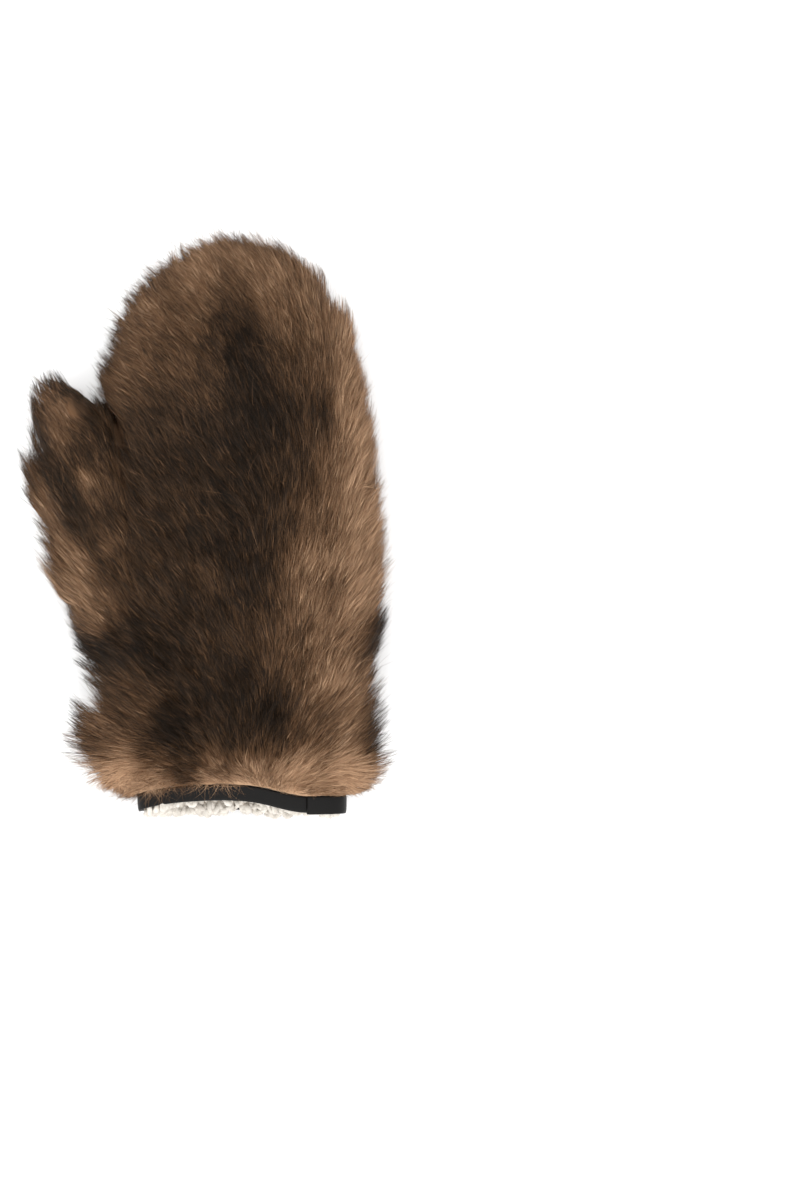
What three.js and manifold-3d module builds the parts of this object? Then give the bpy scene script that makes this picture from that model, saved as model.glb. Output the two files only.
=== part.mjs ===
// A long-haired fur mitten, lying on its palm with the fingertips along +Y and the thumb towards -X.
// Two fur panels, back and palm, meet along a side seam, and a fur thumb is set into the side. Inside
// are a back, a palm and a thumb panel of curly wool lining, which shows at the wrist, where a narrow
// leather band with a lapped end binds the edge.
// Millimetres, +Z up. The origin is on the surface that the mitten lies on, at the middle of its outline.
import * as THREE from "three";
import { mergeVertices } from "three/addons/utils/BufferGeometryUtils.js";
import Module from "manifold-3d";

const wasm = await Module();
wasm.setup();

// Walls, and the clearance between pieces that touch.
const SKIN = 1.5;
const WOOL = 4.5;
const GAP = 0.35;

// The wrist edge: where its side folds are, and how far its back edge rises above them.
const MOUTH_Y = -148;
const MOUTH_ARCH = 6.5;
const ARCH_REACH = 70;
const ARCH_POWER = 1.3;
// The arch falls off before the lapped side, between these shares of the way across the back edge.
const ARCH_FALL = { from: -0.1, to: 0.62 };
const BAND_HEIGHT = 8.5;
const BAND_OUT = 0.3;
const BAND_ROLL = 0.9;
const LAP_LEATHER = 1.2;
const LAP_DROP = 0.8;
const LAP_START_DEG = -38;
const LAP_END_DEG = 55;
const LAP_STEPS = 10;
const WALL_EDGE = 8;
// The wool's lip curls past the leather, and the hollow is cut out through the mouth by this much.
const LINING_LIP = 1.6;
const LIP_CURLS = 6;
const LIP_CURL_HEIGHT = 0.9;
const MOUTH_CUT = 12;

// The fingertips are half an ellipsoid on top of the widest part of the hand.
const DOME_Y = 60;
const TIP_Y = 136;
const THUMB_DOME_LENGTH = 44;
const TIP_PILE = 8;
const HEM_ROUND = 19;
// Where the rings of a round tip begin and end, in degrees up from its widest part.
const DOME_FROM_DEG = 5.86;
const DOME_TO_DEG = 83.7;
// Sections are superellipses of this power, fuller than an ellipse.
const FULLNESS = 2.5;

// The leather form of the hand, and how deep the fur stands off each of its four sides.
const HAND = asRows(
  ["y", "left", "right", "low", "high", "pileLeft", "pileRight", "pileBack", "pilePalm"],
  [
    [-150, -33.5, 71.0, 10.0, 39.0, 19, 14, 12, 16],
    [-128, -35.0, 71.5, 10.0, 40.5, 23, 16, 13, 16],
    [-109, -37.5, 72.0, 9.5, 42.0, 25, 16, 13, 16],
    [-88, -39.5, 72.5, 9.5, 43.5, 17, 17, 13, 16],
    [-60, -42.0, 73.0, 9.0, 45.0, 17, 17, 13, 16],
    [-30, -41.5, 74.0, 9.0, 45.5, 14, 17, 13, 16],
    [0, -39.5, 74.0, 9.0, 45.5, 13, 17, 13, 16],
    [31, -39.0, 71.5, 9.0, 44.5, 13, 15, 13, 16],
    [60, -38.0, 68.0, 9.5, 42.5, 12, 15, 12, 15],
  ],
);

// The thumb's centre line and half widths, from inside the hand to where its round tip begins.
const THUMB = asRows(
  ["x", "y", "half", "low", "high", "pileLeft", "pileRight", "pileBack", "pilePalm"],
  [
    [-30.0, -74.0, 14, 13, 37, 6, 4, 8, 13],
    [-37.0, -50.0, 18, 11, 39, 13, 6, 11, 15],
    [-44.5, -22.0, 20, 10, 40, 11, 8, 12, 16],
    [-51.5, 0.0, 20, 9, 39.5, 12.5, 9, 12, 16],
    [-57.5, 22.0, 18.5, 9, 37.5, 12.5, 9, 12, 15],
  ],
);
const THUMB_HEADING = new THREE.Vector2(-7, 26).normalize();

// Locks of fur, as wedges that lie along the nap. Sizes in millimetres, spacing round and along the form.
const LOCK = { length: 27, width: 14, thick: 6, sink: 3, lift: 3 };
// A lock's section where it is rooted and at its fullest, as shares of its length, width and thickness.
const LOCK_FOOT = { ahead: 0, width: 0.8, thick: 0.7 };
const LOCK_BELLY = { ahead: 0.55, width: 1, thick: 1, lift: 0.1 };
const LOCK_RIDGE_ASIDE = 0.12;
// The smallest lock is this share of the whole size, and the others are up to the spread larger.
const LOCK_LEAST = 0.8;
const LOCK_SPREAD = 0.4;
// How far a lock strays from its place in its row, as shares of the spacing round and along.
const LOCK_STRAY_ROUND = 0.5;
const LOCK_STRAY_ALONG = 0.7;
// The solid undercoat stops short of the whole pile, and the locks are seated in it.
const UNDERCOAT = -3.5;
const LOCK_SEAT = -2.5;
const HAND_LOCKS = { rows: 10, columns: 19, firstY: -132, lastY: 133 };
const TIP_LOCKS_Y = 105;
const TIP_LOCKS_SHARE = 0.85;
const THUMB_LOCKS = { rows: 6, columns: 9 };
// The highest lock on each tip: the hand's as the sine of the angle up it, the thumb's as the angle.
const HAND_TIP_LOCKS = 0.93;
const THUMB_TIP_LOCKS = 1.1;
// The thumb's locks keep this clear of the hand's undercoat, where the hand's own locks are.
const LOCK_ROOM = 8;

const AROUND = 26;
const THUMB_AROUND = 16;
const BODY_YS = [-139, -122, -104, -82, -54, -22, 10, 36, DOME_Y];
const HEM_YS = [-136.5, -131];
const DOME_STEPS = 5;
const THUMB_STEPS = 6;
// Locks that would point into the surface below are left out.
const LOWEST_LOCK = -0.3;
const SEAM_Z = 26;
const FAR = 400;
// Sections closer than this to a form's first one are left out.
const SECTION_ROOM = 2;
// Points closer than this are one point.
const SAME = 1e-3;
// Steps that find a form's slope at a place: round it, and ahead along it.
const STEP_TURN = 0.02;
const STEP_AHEAD = 1;

// The nap: tips lean to the left of +Y in degrees, more towards the thumb side, less at the fingertips,
// and fan out from a middle line towards the hem.
const NAP = { least: 8, leftMore: 22, fromX: 50, acrossX: 110, tipLess: 0.7, tipFromY: 70, tipToY: 130 };
const FAN = { middleX: 15, reachX: 60, left: 24, right: -38, toY: -60 };

const FUR_BACK = 0x5f4736;
const FUR_PALM = 0x5a4334;
const FUR_THUMB = 0x634a38;
const WOOL_CREAM = 0xe6ddcf;
const LEATHER_BLACK = 0x1d1b1a;
const FUR_ROUGH = 0.85;
const WOOL_ROUGH = 0.95;
const LEATHER_ROUGH = 0.45;

function asRows(columns, values) {
  return values.map((row) => Object.fromEntries(columns.map((name, i) => [name, row[i]])));
}

// A smooth curve through the rows of a table, at a fraction of the way from its first to its last row.
function rowAt(rows, place) {
  const last = rows.length - 1;
  const at = THREE.MathUtils.clamp(place, 0, last);
  const i = Math.min(Math.floor(at), last - 1);
  const u = at - i;
  const pick = (k) => rows[THREE.MathUtils.clamp(k, 0, last)];
  const found = {};
  for (const name of Object.keys(rows[0])) {
    const [p, a, b, n] = [pick(i - 1)[name], pick(i)[name], pick(i + 1)[name], pick(i + 2)[name]];
    const slopeA = (b - p) / 2;
    const slopeB = (n - a) / 2;
    const square = u * u;
    const cube = square * u;
    found[name] =
      (2 * cube - 3 * square + 1) * a +
      (cube - 2 * square + u) * slopeA +
      (3 * square - 2 * cube) * b +
      (cube - square) * slopeB;
  }
  return found;
}

function handRowAtY(y) {
  let i = 0;
  while (i < HAND.length - 2 && y > HAND[i + 1].y) i += 1;
  return rowAt(HAND, i + (y - HAND[i].y) / (HAND[i + 1].y - HAND[i].y));
}

// How the mouth's arch moves a point of the hand along Y, from how far the point is up and across.
function archShift(y, up, across) {
  const fade = 1 - THREE.MathUtils.smoothstep(y, MOUTH_Y, MOUTH_Y + ARCH_REACH);
  const side = 1 - THREE.MathUtils.smoothstep(across, ARCH_FALL.from, ARCH_FALL.to);
  return MOUTH_ARCH * Math.max(0, up) ** ARCH_POWER * side * fade;
}

function squareRound(value) {
  return Math.sign(value) * Math.abs(value) ** (2 / FULLNESS);
}

// The fur grows out of the hem in a quarter round above the band.
function hemShare(y) {
  const u = THREE.MathUtils.clamp((y - MOUTH_Y - BAND_HEIGHT) / HEM_ROUND, 0, 1);
  return Math.sqrt(Math.max(0, 1 - (1 - u) ** 2));
}

// A grown form: an even growth all round, and a share of the table's pile.
function growth(even, pileShare = 0, hem = false) {
  return { even, pileShare, hem };
}

function sideGrowths(row, form, share) {
  const of = (pile) => form.even + form.pileShare * share * pile;
  return { left: of(row.pileLeft), right: of(row.pileRight), back: of(row.pileBack), palm: of(row.pilePalm) };
}

// A point of the hand's form at a height y below the dome, or at an angle up the dome.
function handPoint(station, turn, form) {
  const inDome = station.dome > 0;
  const row = handRowAtY(inDome ? DOME_Y : station.y);
  const grow = sideGrowths(row, form, form.hem && !inDome ? hemShare(station.y) : 1);
  const up = Math.sin(turn);
  const across = Math.cos(turn);
  const shrink = inDome ? Math.cos(station.dome) : 1;
  const halfWidth = (row.right - row.left) / 2 + (across > 0 ? grow.right : grow.left);
  const halfThick = (row.high - row.low) / 2 + (up > 0 ? grow.back : grow.palm);
  const tipReach = TIP_Y - DOME_Y + form.even + form.pileShare * TIP_PILE;
  const flatY = station.y + archShift(station.y, up, across);
  return new THREE.Vector3(
    (row.left + row.right) / 2 + halfWidth * shrink * squareRound(across),
    inDome ? DOME_Y + tipReach * Math.sin(station.dome) : flatY,
    (row.low + row.high) / 2 + halfThick * shrink * squareRound(up),
  );
}

function thumbPoint(station, turn, form) {
  const row = rowAt(THUMB, station.place);
  const grow = sideGrowths(row, form, 1);
  const up = Math.sin(turn);
  const across = Math.cos(turn);
  const shrink = Math.cos(station.dome);
  const halfWidth = (row.half + (across > 0 ? grow.right : grow.left)) * shrink * squareRound(across);
  const halfThick = (row.high - row.low) / 2 + (up > 0 ? grow.back : grow.palm);
  const domeAhead = (THUMB_DOME_LENGTH + form.even + form.pileShare * TIP_PILE) * Math.sin(station.dome);
  const ahead = station.place === 0 ? -form.even : domeAhead;
  return new THREE.Vector3(
    row.x + THUMB_HEADING.x * ahead + THUMB_HEADING.y * halfWidth,
    row.y + THUMB_HEADING.y * ahead - THUMB_HEADING.x * halfWidth,
    (row.low + row.high) / 2 + halfThick * shrink * squareRound(up),
  );
}

function stations(count, make) {
  return Array.from({ length: count + 1 }, (_, i) => make(i / count));
}

function domeAngles() {
  const upTo = (u) => THREE.MathUtils.degToRad(THREE.MathUtils.lerp(DOME_FROM_DEG, DOME_TO_DEG, u));
  return stations(DOME_STEPS - 1, upTo);
}

// Every form of the hand has its sections at the same places, so that nested walls keep their clearance.
// Only the fur's outer face has more, round its hem.
function handStations(fromY, hem) {
  const shared = hem ? [...HEM_YS, ...BODY_YS] : BODY_YS;
  const body = [fromY, ...shared.filter((y) => y > fromY + SECTION_ROOM)].map((y) => ({ y, dome: 0 }));
  return [...body, ...domeAngles().map((dome) => ({ y: DOME_Y, dome }))];
}

function thumbStations() {
  const body = stations(THUMB_STEPS, (u) => ({ place: u * (THUMB.length - 1), dome: 0 }));
  return [...body, ...domeAngles().map((dome) => ({ place: THUMB.length - 1, dome }))];
}

// A closed skin over rings of points, its two ends closed by fans.
function skinOver(rings) {
  const around = rings[0].length;
  const positions = [];
  const put = (...points) => points.forEach((p) => positions.push(p.x, p.y, p.z));
  for (let i = 0; i + 1 < rings.length; i += 1) {
    for (let k = 0; k < around; k += 1) {
      const next = (k + 1) % around;
      put(rings[i][k], rings[i + 1][k], rings[i + 1][next]);
      put(rings[i][k], rings[i + 1][next], rings[i][next]);
    }
  }
  const middleOf = (ring) =>
    ring.reduce((sum, p) => sum.add(p), new THREE.Vector3()).divideScalar(ring.length);
  const first = rings[0];
  const final = rings[rings.length - 1];
  const [start, end] = [middleOf(first), middleOf(final)];
  for (let k = 0; k < around; k += 1) {
    const next = (k + 1) % around;
    put(start, first[k], first[next]);
    put(end, final[next], final[k]);
  }
  return new THREE.BufferGeometry().setAttribute("position", new THREE.Float32BufferAttribute(positions, 3));
}

function volumeOf(positions, corners) {
  const [a, b, c] = [new THREE.Vector3(), new THREE.Vector3(), new THREE.Vector3()];
  let six = 0;
  for (let i = 0; i < corners.length; i += 3) {
    a.fromArray(positions, corners[i] * 3);
    b.fromArray(positions, corners[i + 1] * 3);
    c.fromArray(positions, corners[i + 2] * 3);
    six += a.dot(b.cross(c));
  }
  return six / 6;
}

// A closed geometry as a solid, its faces turned to look outwards.
function solid(geometry) {
  const bare = geometry.clone();
  bare.deleteAttribute("normal");
  bare.deleteAttribute("uv");
  const merged = mergeVertices(bare, SAME);
  const vertProperties = new Float32Array(merged.attributes.position.array);
  const triVerts = new Uint32Array(merged.index.array);
  if (volumeOf(vertProperties, triVerts) < 0) triVerts.reverse();
  return new wasm.Manifold(new wasm.Mesh({ numProp: 3, vertProperties, triVerts }));
}

function joined(bodies) {
  if (bodies.length === 1) return bodies[0];
  const middle = Math.ceil(bodies.length / 2);
  return joined(bodies.slice(0, middle)).add(joined(bodies.slice(middle)));
}

// The triangles of the largest body that is connected across edges, without the loose tips that a cut leaves.
function largestBody(corners) {
  const count = corners.length / 3;
  const leader = Uint32Array.from({ length: count }, (_, i) => i);
  const find = (i) => {
    while (leader[i] !== i) {
      leader[i] = leader[leader[i]];
      i = leader[i];
    }
    return i;
  };
  const owner = new Map();
  for (let i = 0; i < corners.length; i += 1) {
    const triangle = Math.floor(i / 3);
    const next = triangle * 3 + ((i + 1) % 3);
    const opposite = owner.get(`${corners[next]},${corners[i]}`);
    if (opposite === undefined) owner.set(`${corners[i]},${corners[next]}`, triangle);
    else leader[find(triangle)] = find(opposite);
  }
  const bodies = new Map();
  for (let i = 0; i < count; i += 1) {
    const key = find(i);
    if (!bodies.has(key)) bodies.set(key, []);
    bodies.get(key).push(...corners.subarray(i * 3, i * 3 + 3));
  }
  return [...bodies.values()].reduce((best, body) => (body.length > best.length ? body : best));
}

function geometryOf(body) {
  const mesh = body.getMesh();
  const positions = new Float32Array(mesh.numVert * 3);
  for (let i = 0; i < mesh.numVert; i += 1) {
    positions.set(mesh.vertProperties.subarray(i * mesh.numProp, i * mesh.numProp + 3), i * 3);
  }
  const geometry = new THREE.BufferGeometry()
    .setAttribute("position", new THREE.BufferAttribute(positions, 3))
    .setIndex(largestBody(mesh.triVerts));
  geometry.computeVertexNormals();
  return geometry;
}

function ringOf(point, station, form, around = AROUND) {
  return Array.from({ length: around }, (_, k) => point(station, (2 * Math.PI * k) / around, form));
}

// The first ring stands inside the wall, so that the wall's own edge follows the mouth's arch.
function handRings(form, fromY) {
  const rings = handStations(fromY, form.hem).map((s) => ringOf(handPoint, s, form));
  return [ringOf(handPoint, { y: fromY, dome: 0 }, growth(form.even - WALL_EDGE)), ...rings];
}

function handSolid(form, fromY = MOUTH_Y) {
  return solid(skinOver(handRings(form, fromY)));
}

function thumbSolid(form) {
  return solid(skinOver(thumbStations().map((s) => ringOf(thumbPoint, s, form, THUMB_AROUND))));
}

// All the room between two heights, to cut along the side seam or the surface below.
function everythingBetween(low, high) {
  const slab = new THREE.BoxGeometry(2 * FAR, 2 * FAR, high - low);
  slab.translate(0, 0, (low + high) / 2);
  return solid(slab);
}

// One lock of fur: a wedge rooted in the fur's block, bending up out of it to a point.
function lockGeometry(root, along, out, size) {
  const side = new THREE.Vector3().crossVectors(along, out).normalize();
  const at = (forward, outward, sideways) => {
    const middle = root.clone().addScaledVector(along, forward).addScaledVector(out, outward);
    return middle.addScaledVector(side, sideways);
  };
  const section = (forward, outward, width, thick) => [
    at(forward, outward - thick / 2, -width / 2),
    at(forward, outward - thick / 2, width / 2),
    at(forward, outward + thick / 2, width * LOCK_RIDGE_ASIDE),
  ];
  const share = (part, outward) =>
    section(size.length * part.ahead, outward, size.width * part.width, size.thick * part.thick);
  const rings = [share(LOCK_FOOT, -LOCK.sink), share(LOCK_BELLY, size.lift * LOCK_BELLY.lift)];
  const tip = at(size.length, size.lift, 0);
  const positions = [];
  const put = (...points) => points.forEach((p) => positions.push(p.x, p.y, p.z));
  for (let k = 0; k < 3; k += 1) {
    const next = (k + 1) % 3;
    put(rings[0][k], rings[0][next], rings[1][next]);
    put(rings[0][k], rings[1][next], rings[1][k]);
    put(rings[1][k], rings[1][next], tip);
  }
  put(rings[0][2], rings[0][1], rings[0][0]);
  return new THREE.BufferGeometry().setAttribute("position", new THREE.Float32BufferAttribute(positions, 3));
}

// A repeatable number from 0 to 1 for a pair of counts.
function scatter(a, b) {
  const value = Math.sin(a * 127.1 + b * 311.7) * 43758.5453;
  return value - Math.floor(value);
}

// The way the nap runs at a place on the hand or thumb, as a lean to the left of +Y, in degrees.
function napLean(x, y) {
  const leftward = THREE.MathUtils.clamp((NAP.fromX - x) / NAP.acrossX, 0, 1);
  const nearHem = 1 - THREE.MathUtils.smoothstep(y, MOUTH_Y, FAN.toY);
  const nearTip = THREE.MathUtils.smoothstep(y, NAP.tipFromY, NAP.tipToY);
  const aside = Math.min(1, Math.abs(x - FAN.middleX) / FAN.reachX);
  const fan = nearHem * aside * (x < FAN.middleX ? FAN.left : FAN.right);
  return (NAP.least + NAP.leftMore * leftward) * (1 - NAP.tipLess * nearTip) + fan;
}

function locksOver(point, stationAt, form, counts) {
  const found = [];
  for (let row = 0; row < counts.rows; row += 1) {
    for (let column = 0; column < counts.columns; column += 1) {
      const offset = row % 2 ? 0.5 : 0;
      const stray = LOCK_STRAY_ROUND * scatter(row, column);
      const turn = (2 * Math.PI * (column + offset + stray)) / counts.columns;
      const station = stationAt((row + LOCK_STRAY_ALONG * scatter(column, row)) / counts.rows);
      const root = point(station, turn, form);
      const round = point(station, turn + STEP_TURN, form).sub(point(station, turn - STEP_TURN, form));
      const ahead = point(stationAt.beyond(station), turn, form).sub(root);
      const out = new THREE.Vector3().crossVectors(ahead, round).normalize();
      if (out.z < LOWEST_LOCK) continue;
      const lean = THREE.MathUtils.degToRad(napLean(root.x, root.y));
      const nap = new THREE.Vector3(-Math.sin(lean), Math.cos(lean), 0);
      const along = nap.addScaledVector(out, -nap.dot(out)).normalize();
      const tipShare = root.y > TIP_LOCKS_Y ? TIP_LOCKS_SHARE : 1;
      const vary = (LOCK_LEAST + LOCK_SPREAD * scatter(row + counts.rows, column + row)) * tipShare;
      const size = { ...LOCK, length: LOCK.length * vary, width: LOCK.width * vary };
      found.push(lockGeometry(root, along, out, size));
    }
  }
  return joined(found.map(solid));
}

function handLockStation(u) {
  const y = HAND_LOCKS.firstY + (HAND_LOCKS.lastY - HAND_LOCKS.firstY) * u;
  return y <= DOME_Y
    ? { y, dome: 0 }
    : { y: DOME_Y, dome: Math.asin(Math.min(HAND_TIP_LOCKS, (y - DOME_Y) / (TIP_Y - DOME_Y))) };
}
handLockStation.beyond = (station) =>
  station.dome > 0
    ? { ...station, dome: station.dome + STEP_TURN }
    : { ...station, y: station.y + STEP_AHEAD };

function thumbLockStation(u) {
  const place = u * THUMB.length;
  const last = THUMB.length - 1;
  return place <= last ? { place, dome: 0 } : { place: last, dome: (place - last) * THUMB_TIP_LOCKS };
}
thumbLockStation.beyond = (station) =>
  station.place < THUMB.length - 1
    ? { ...station, place: station.place + STEP_TURN }
    : { ...station, dome: station.dome + STEP_TURN };

function add(group, name, body, colour, roughness) {
  const material = new THREE.MeshStandardMaterial({ color: colour, roughness, metalness: 0 });
  const mesh = new THREE.Mesh(geometryOf(body), material);
  mesh.name = name;
  group.add(mesh);
}

// The space inside the pelts' leather, out through the mouth.
function insideOf(even) {
  return handSolid(growth(even), MOUTH_Y - MOUTH_CUT).add(thumbSolid(growth(even)));
}

function makePelts() {
  const hemStart = MOUTH_Y + BAND_HEIGHT + GAP;
  const handLocks = locksOver(handPoint, handLockStation, growth(LOCK_SEAT, 1, true), HAND_LOCKS);
  const hand = handSolid(growth(UNDERCOAT, 1, true), hemStart).add(handLocks);
  const thumbLocks = locksOver(thumbPoint, thumbLockStation, growth(LOCK_SEAT, 1), THUMB_LOCKS);
  const handRoom = handSolid(growth(LOCK_ROOM, 1, true), hemStart);
  const thumbRoom = thumbSolid(growth(UNDERCOAT + GAP, 1));
  const inside = insideOf(-SKIN);
  const surface = everythingBetween(-FAR, 0);
  const cutHand = hand.subtract(thumbRoom).subtract(inside).subtract(surface);
  const thumb = thumbSolid(growth(UNDERCOAT, 1)).add(thumbLocks.subtract(handRoom));
  return {
    back: cutHand.subtract(everythingBetween(-FAR, SEAM_Z + GAP / 2)),
    palm: cutHand.subtract(everythingBetween(SEAM_Z - GAP / 2, FAR)),
    thumb: thumb.subtract(inside).subtract(surface),
  };
}

// The wool lining of the hand, its lip curling a little past the leather, and that of the thumb.
function makeLinings() {
  const outer = growth(-SKIN - GAP);
  const inner = growth(-SKIN - GAP - WOOL);
  const rings = handRings(outer, MOUTH_Y - LINING_LIP);
  const curl = (k) => LIP_CURL_HEIGHT * Math.cos((2 * Math.PI * k * LIP_CURLS) / AROUND);
  rings.slice(0, 2).forEach((ring) => ring.forEach((p, k) => (p.y -= curl(k))));
  const handHollow = handSolid(inner, MOUTH_Y - MOUTH_CUT);
  const hand = solid(skinOver(rings)).subtract(handHollow).subtract(thumbSolid(growth(-SKIN)));
  return {
    back: hand.subtract(everythingBetween(-FAR, SEAM_Z + GAP / 2)),
    palm: hand.subtract(everythingBetween(SEAM_Z - GAP / 2, FAR)),
    thumb: thumbSolid(outer).subtract(thumbSolid(inner)).subtract(handHollow),
  };
}

function bandProfile(drop, out, leather) {
  const bottom = MOUTH_Y - drop;
  const top = MOUTH_Y + BAND_HEIGHT;
  return [
    { y: top, even: out - leather },
    { y: bottom + BAND_ROLL, even: out - leather },
    { y: bottom, even: out - leather / 2 },
    { y: bottom + BAND_ROLL, even: out },
    { y: top, even: out },
  ];
}

// A strip of leather round the wrist, between two angles, or all the way round and joined to itself.
function strip(profile, fromTurn, toTurn, steps) {
  const whole = toTurn - fromTurn > 2 * Math.PI - SAME;
  const count = whole ? steps : steps + 1;
  const slices = Array.from({ length: count }, (_, i) => {
    const turn = fromTurn + ((toTurn - fromTurn) * i) / steps;
    return profile.map((p) => handPoint({ y: p.y, dome: 0 }, turn, growth(p.even)));
  });
  if (!whole) return solid(skinOver(slices));
  const positions = [];
  const put = (...points) => points.forEach((p) => positions.push(p.x, p.y, p.z));
  for (let i = 0; i < count; i += 1) {
    const [here, there] = [slices[i], slices[(i + 1) % count]];
    for (let k = 0; k < profile.length; k += 1) {
      const next = (k + 1) % profile.length;
      put(here[k], there[k], there[next]);
      put(here[k], there[next], here[next]);
    }
  }
  return solid(
    new THREE.BufferGeometry().setAttribute("position", new THREE.Float32BufferAttribute(positions, 3)),
  );
}

const mitten = new THREE.Group();
const pelts = makePelts();
add(mitten, "back_pelt", pelts.back, FUR_BACK, FUR_ROUGH);
add(mitten, "palm_pelt", pelts.palm, FUR_PALM, FUR_ROUGH);
add(mitten, "thumb_pelt", pelts.thumb, FUR_THUMB, FUR_ROUGH);
const linings = makeLinings();
add(mitten, "back_lining", linings.back, WOOL_CREAM, WOOL_ROUGH);
add(mitten, "palm_lining", linings.palm, WOOL_CREAM, WOOL_ROUGH);
add(mitten, "thumb_lining", linings.thumb, WOOL_CREAM, WOOL_ROUGH);
add(
  mitten,
  "cuff_band",
  strip(bandProfile(0, BAND_OUT, SKIN + BAND_OUT), 0, 2 * Math.PI, AROUND),
  LEATHER_BLACK,
  LEATHER_ROUGH,
);
add(
  mitten,
  "band_lap",
  strip(
    bandProfile(LAP_DROP, BAND_OUT + GAP + LAP_LEATHER, LAP_LEATHER),
    THREE.MathUtils.degToRad(LAP_START_DEG),
    THREE.MathUtils.degToRad(LAP_END_DEG),
    LAP_STEPS,
  ),
  LEATHER_BLACK,
  LEATHER_ROUGH,
);

export default mitten;
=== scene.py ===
"""A long-haired fur mitten lying on its palm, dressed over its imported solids."""

import math

import bmesh
import bpy
import numpy as np
from mathutils import Color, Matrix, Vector, kdtree


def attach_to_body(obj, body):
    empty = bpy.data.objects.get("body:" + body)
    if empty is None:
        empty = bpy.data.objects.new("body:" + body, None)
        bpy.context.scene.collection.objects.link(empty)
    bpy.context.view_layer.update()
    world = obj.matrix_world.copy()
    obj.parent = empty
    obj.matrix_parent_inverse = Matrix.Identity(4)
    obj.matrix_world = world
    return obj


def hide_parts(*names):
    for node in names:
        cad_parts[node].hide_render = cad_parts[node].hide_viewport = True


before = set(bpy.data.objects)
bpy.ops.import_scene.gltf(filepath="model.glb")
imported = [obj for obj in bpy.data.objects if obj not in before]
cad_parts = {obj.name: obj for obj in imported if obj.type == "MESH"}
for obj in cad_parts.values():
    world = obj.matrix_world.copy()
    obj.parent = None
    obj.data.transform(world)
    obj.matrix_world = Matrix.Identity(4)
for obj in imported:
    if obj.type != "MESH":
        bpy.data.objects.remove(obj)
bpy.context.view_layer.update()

bl_info = {
    "name": "Fur mitten",
    "version": (1, 0, 0),
    "blender": (4, 5, 0),
    "location": "3D View > Sidebar > Mitten",
    "description": "Builds the fur, lining and wrist band of a fur mitten over its frame",
    "category": "Object",
}

MM = 0.001
UP = np.array([0.0, 0.0, 1.0])

# The wrist edge and the walls, as the frame's solids have them, in millimetres.
SKIN = 1.5
WOOL = 4.5
GAP = 0.35
MOUTH_Y = -148.0
MOUTH_ARCH = 6.5
ARCH_REACH = 70.0
ARCH_FALL = (-0.1, 0.62)
BAND_HEIGHT = 8.5
BAND_OUT = 0.3
LAP_LEATHER = 1.2
LAP_FROM = -38.0
LAP_TO = 55.0
HEM_ROUND = 19.0
DOME_Y = 60.0
TIP_Y = 136.0
TIP_PILE = 8.0
THUMB_DOME = 44.0
THUMB_HEADING = np.array([-7.0, 26.0]) / math.hypot(-7.0, 26.0)
# The exponents of the sections' fullness and of the arch over the wrist's back edge.
FULLNESS = 2.5
ARCH_CURVE = 1.3

# The leather form of the hand, and how far the pile stands off each side of it.
HAND_COLUMNS = ("y", "left", "right", "low", "high", "pile_left", "pile_right", "pile_back", "pile_palm")
HAND_ROWS = (
    (-150, -33.5, 71.0, 10.0, 39.0, 19, 14, 12, 16),
    (-128, -35.0, 71.5, 10.0, 40.5, 23, 16, 13, 16),
    (-109, -37.5, 72.0, 9.5, 42.0, 25, 16, 13, 16),
    (-88, -39.5, 72.5, 9.5, 43.5, 17, 17, 13, 16),
    (-60, -42.0, 73.0, 9.0, 45.0, 17, 17, 13, 16),
    (-30, -41.5, 74.0, 9.0, 45.5, 14, 17, 13, 16),
    (0, -39.5, 74.0, 9.0, 45.5, 13, 17, 13, 16),
    (31, -39.0, 71.5, 9.0, 44.5, 13, 15, 13, 16),
    (60, -38.0, 68.0, 9.5, 42.5, 12, 15, 12, 15),
)
THUMB_COLUMNS = ("x", "y", "half", "low", "high", "pile_left", "pile_right", "pile_back", "pile_palm")
THUMB_ROWS = (
    (-30.0, -74.0, 14, 13, 37, 6, 4, 8, 13),
    (-37.0, -50.0, 18, 11, 39, 13, 6, 11, 15),
    (-44.5, -22.0, 20, 10, 40, 11, 8, 12, 16),
    (-51.5, 0.0, 20, 9, 39.5, 12.5, 9, 12, 16),
    (-57.5, 22.0, 18.5, 9, 37.5, 12.5, 9, 12, 15),
)

# The nap: which way the tips point at a place, in degrees to the left of the fingers.
NAP_COLUMNS = ("x", "y", "lean")
NAP_ROWS = (
    (-76, 62, 34), (-62, 66, 54), (-53, 58, 53), (-46, 46, 47), (-84, 38, 18), (-80, 20, 22),
    (-74, -10, 30), (-58, 25, 24),
    (-52, -25, 32), (-62, -45, 40),
    (-34, 95, 48), (-42, 65, 48), (-18, 122, 40), (8, 140, 32), (34, 128, 30), (52, 105, 24),
    (0, 70, 34), (10, 15, 34), (-18, -20, 36), (-22, 20, 40), (40, 60, 22), (68, 60, 8),
    (72, 15, -4), (62, -20, -16), (76, -55, -22), (55, -75, -10), (30, -45, 16), (18, -85, 26),
    (-25, -70, 46), (-50, -90, 56), (-60, -108, 60), (-44, -132, 96), (-28, -124, 62), (-10, -132, 44),
    (14, -134, 20), (36, -134, -16), (58, -128, -44), (80, -132, -96), (84, -112, -40), (48, -108, -14),
)

# How wide a place of the nap's table reaches, and how softly it gives way to the next.
NAP_REACH = 15.0
NAP_BLEND = 0.4

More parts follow.
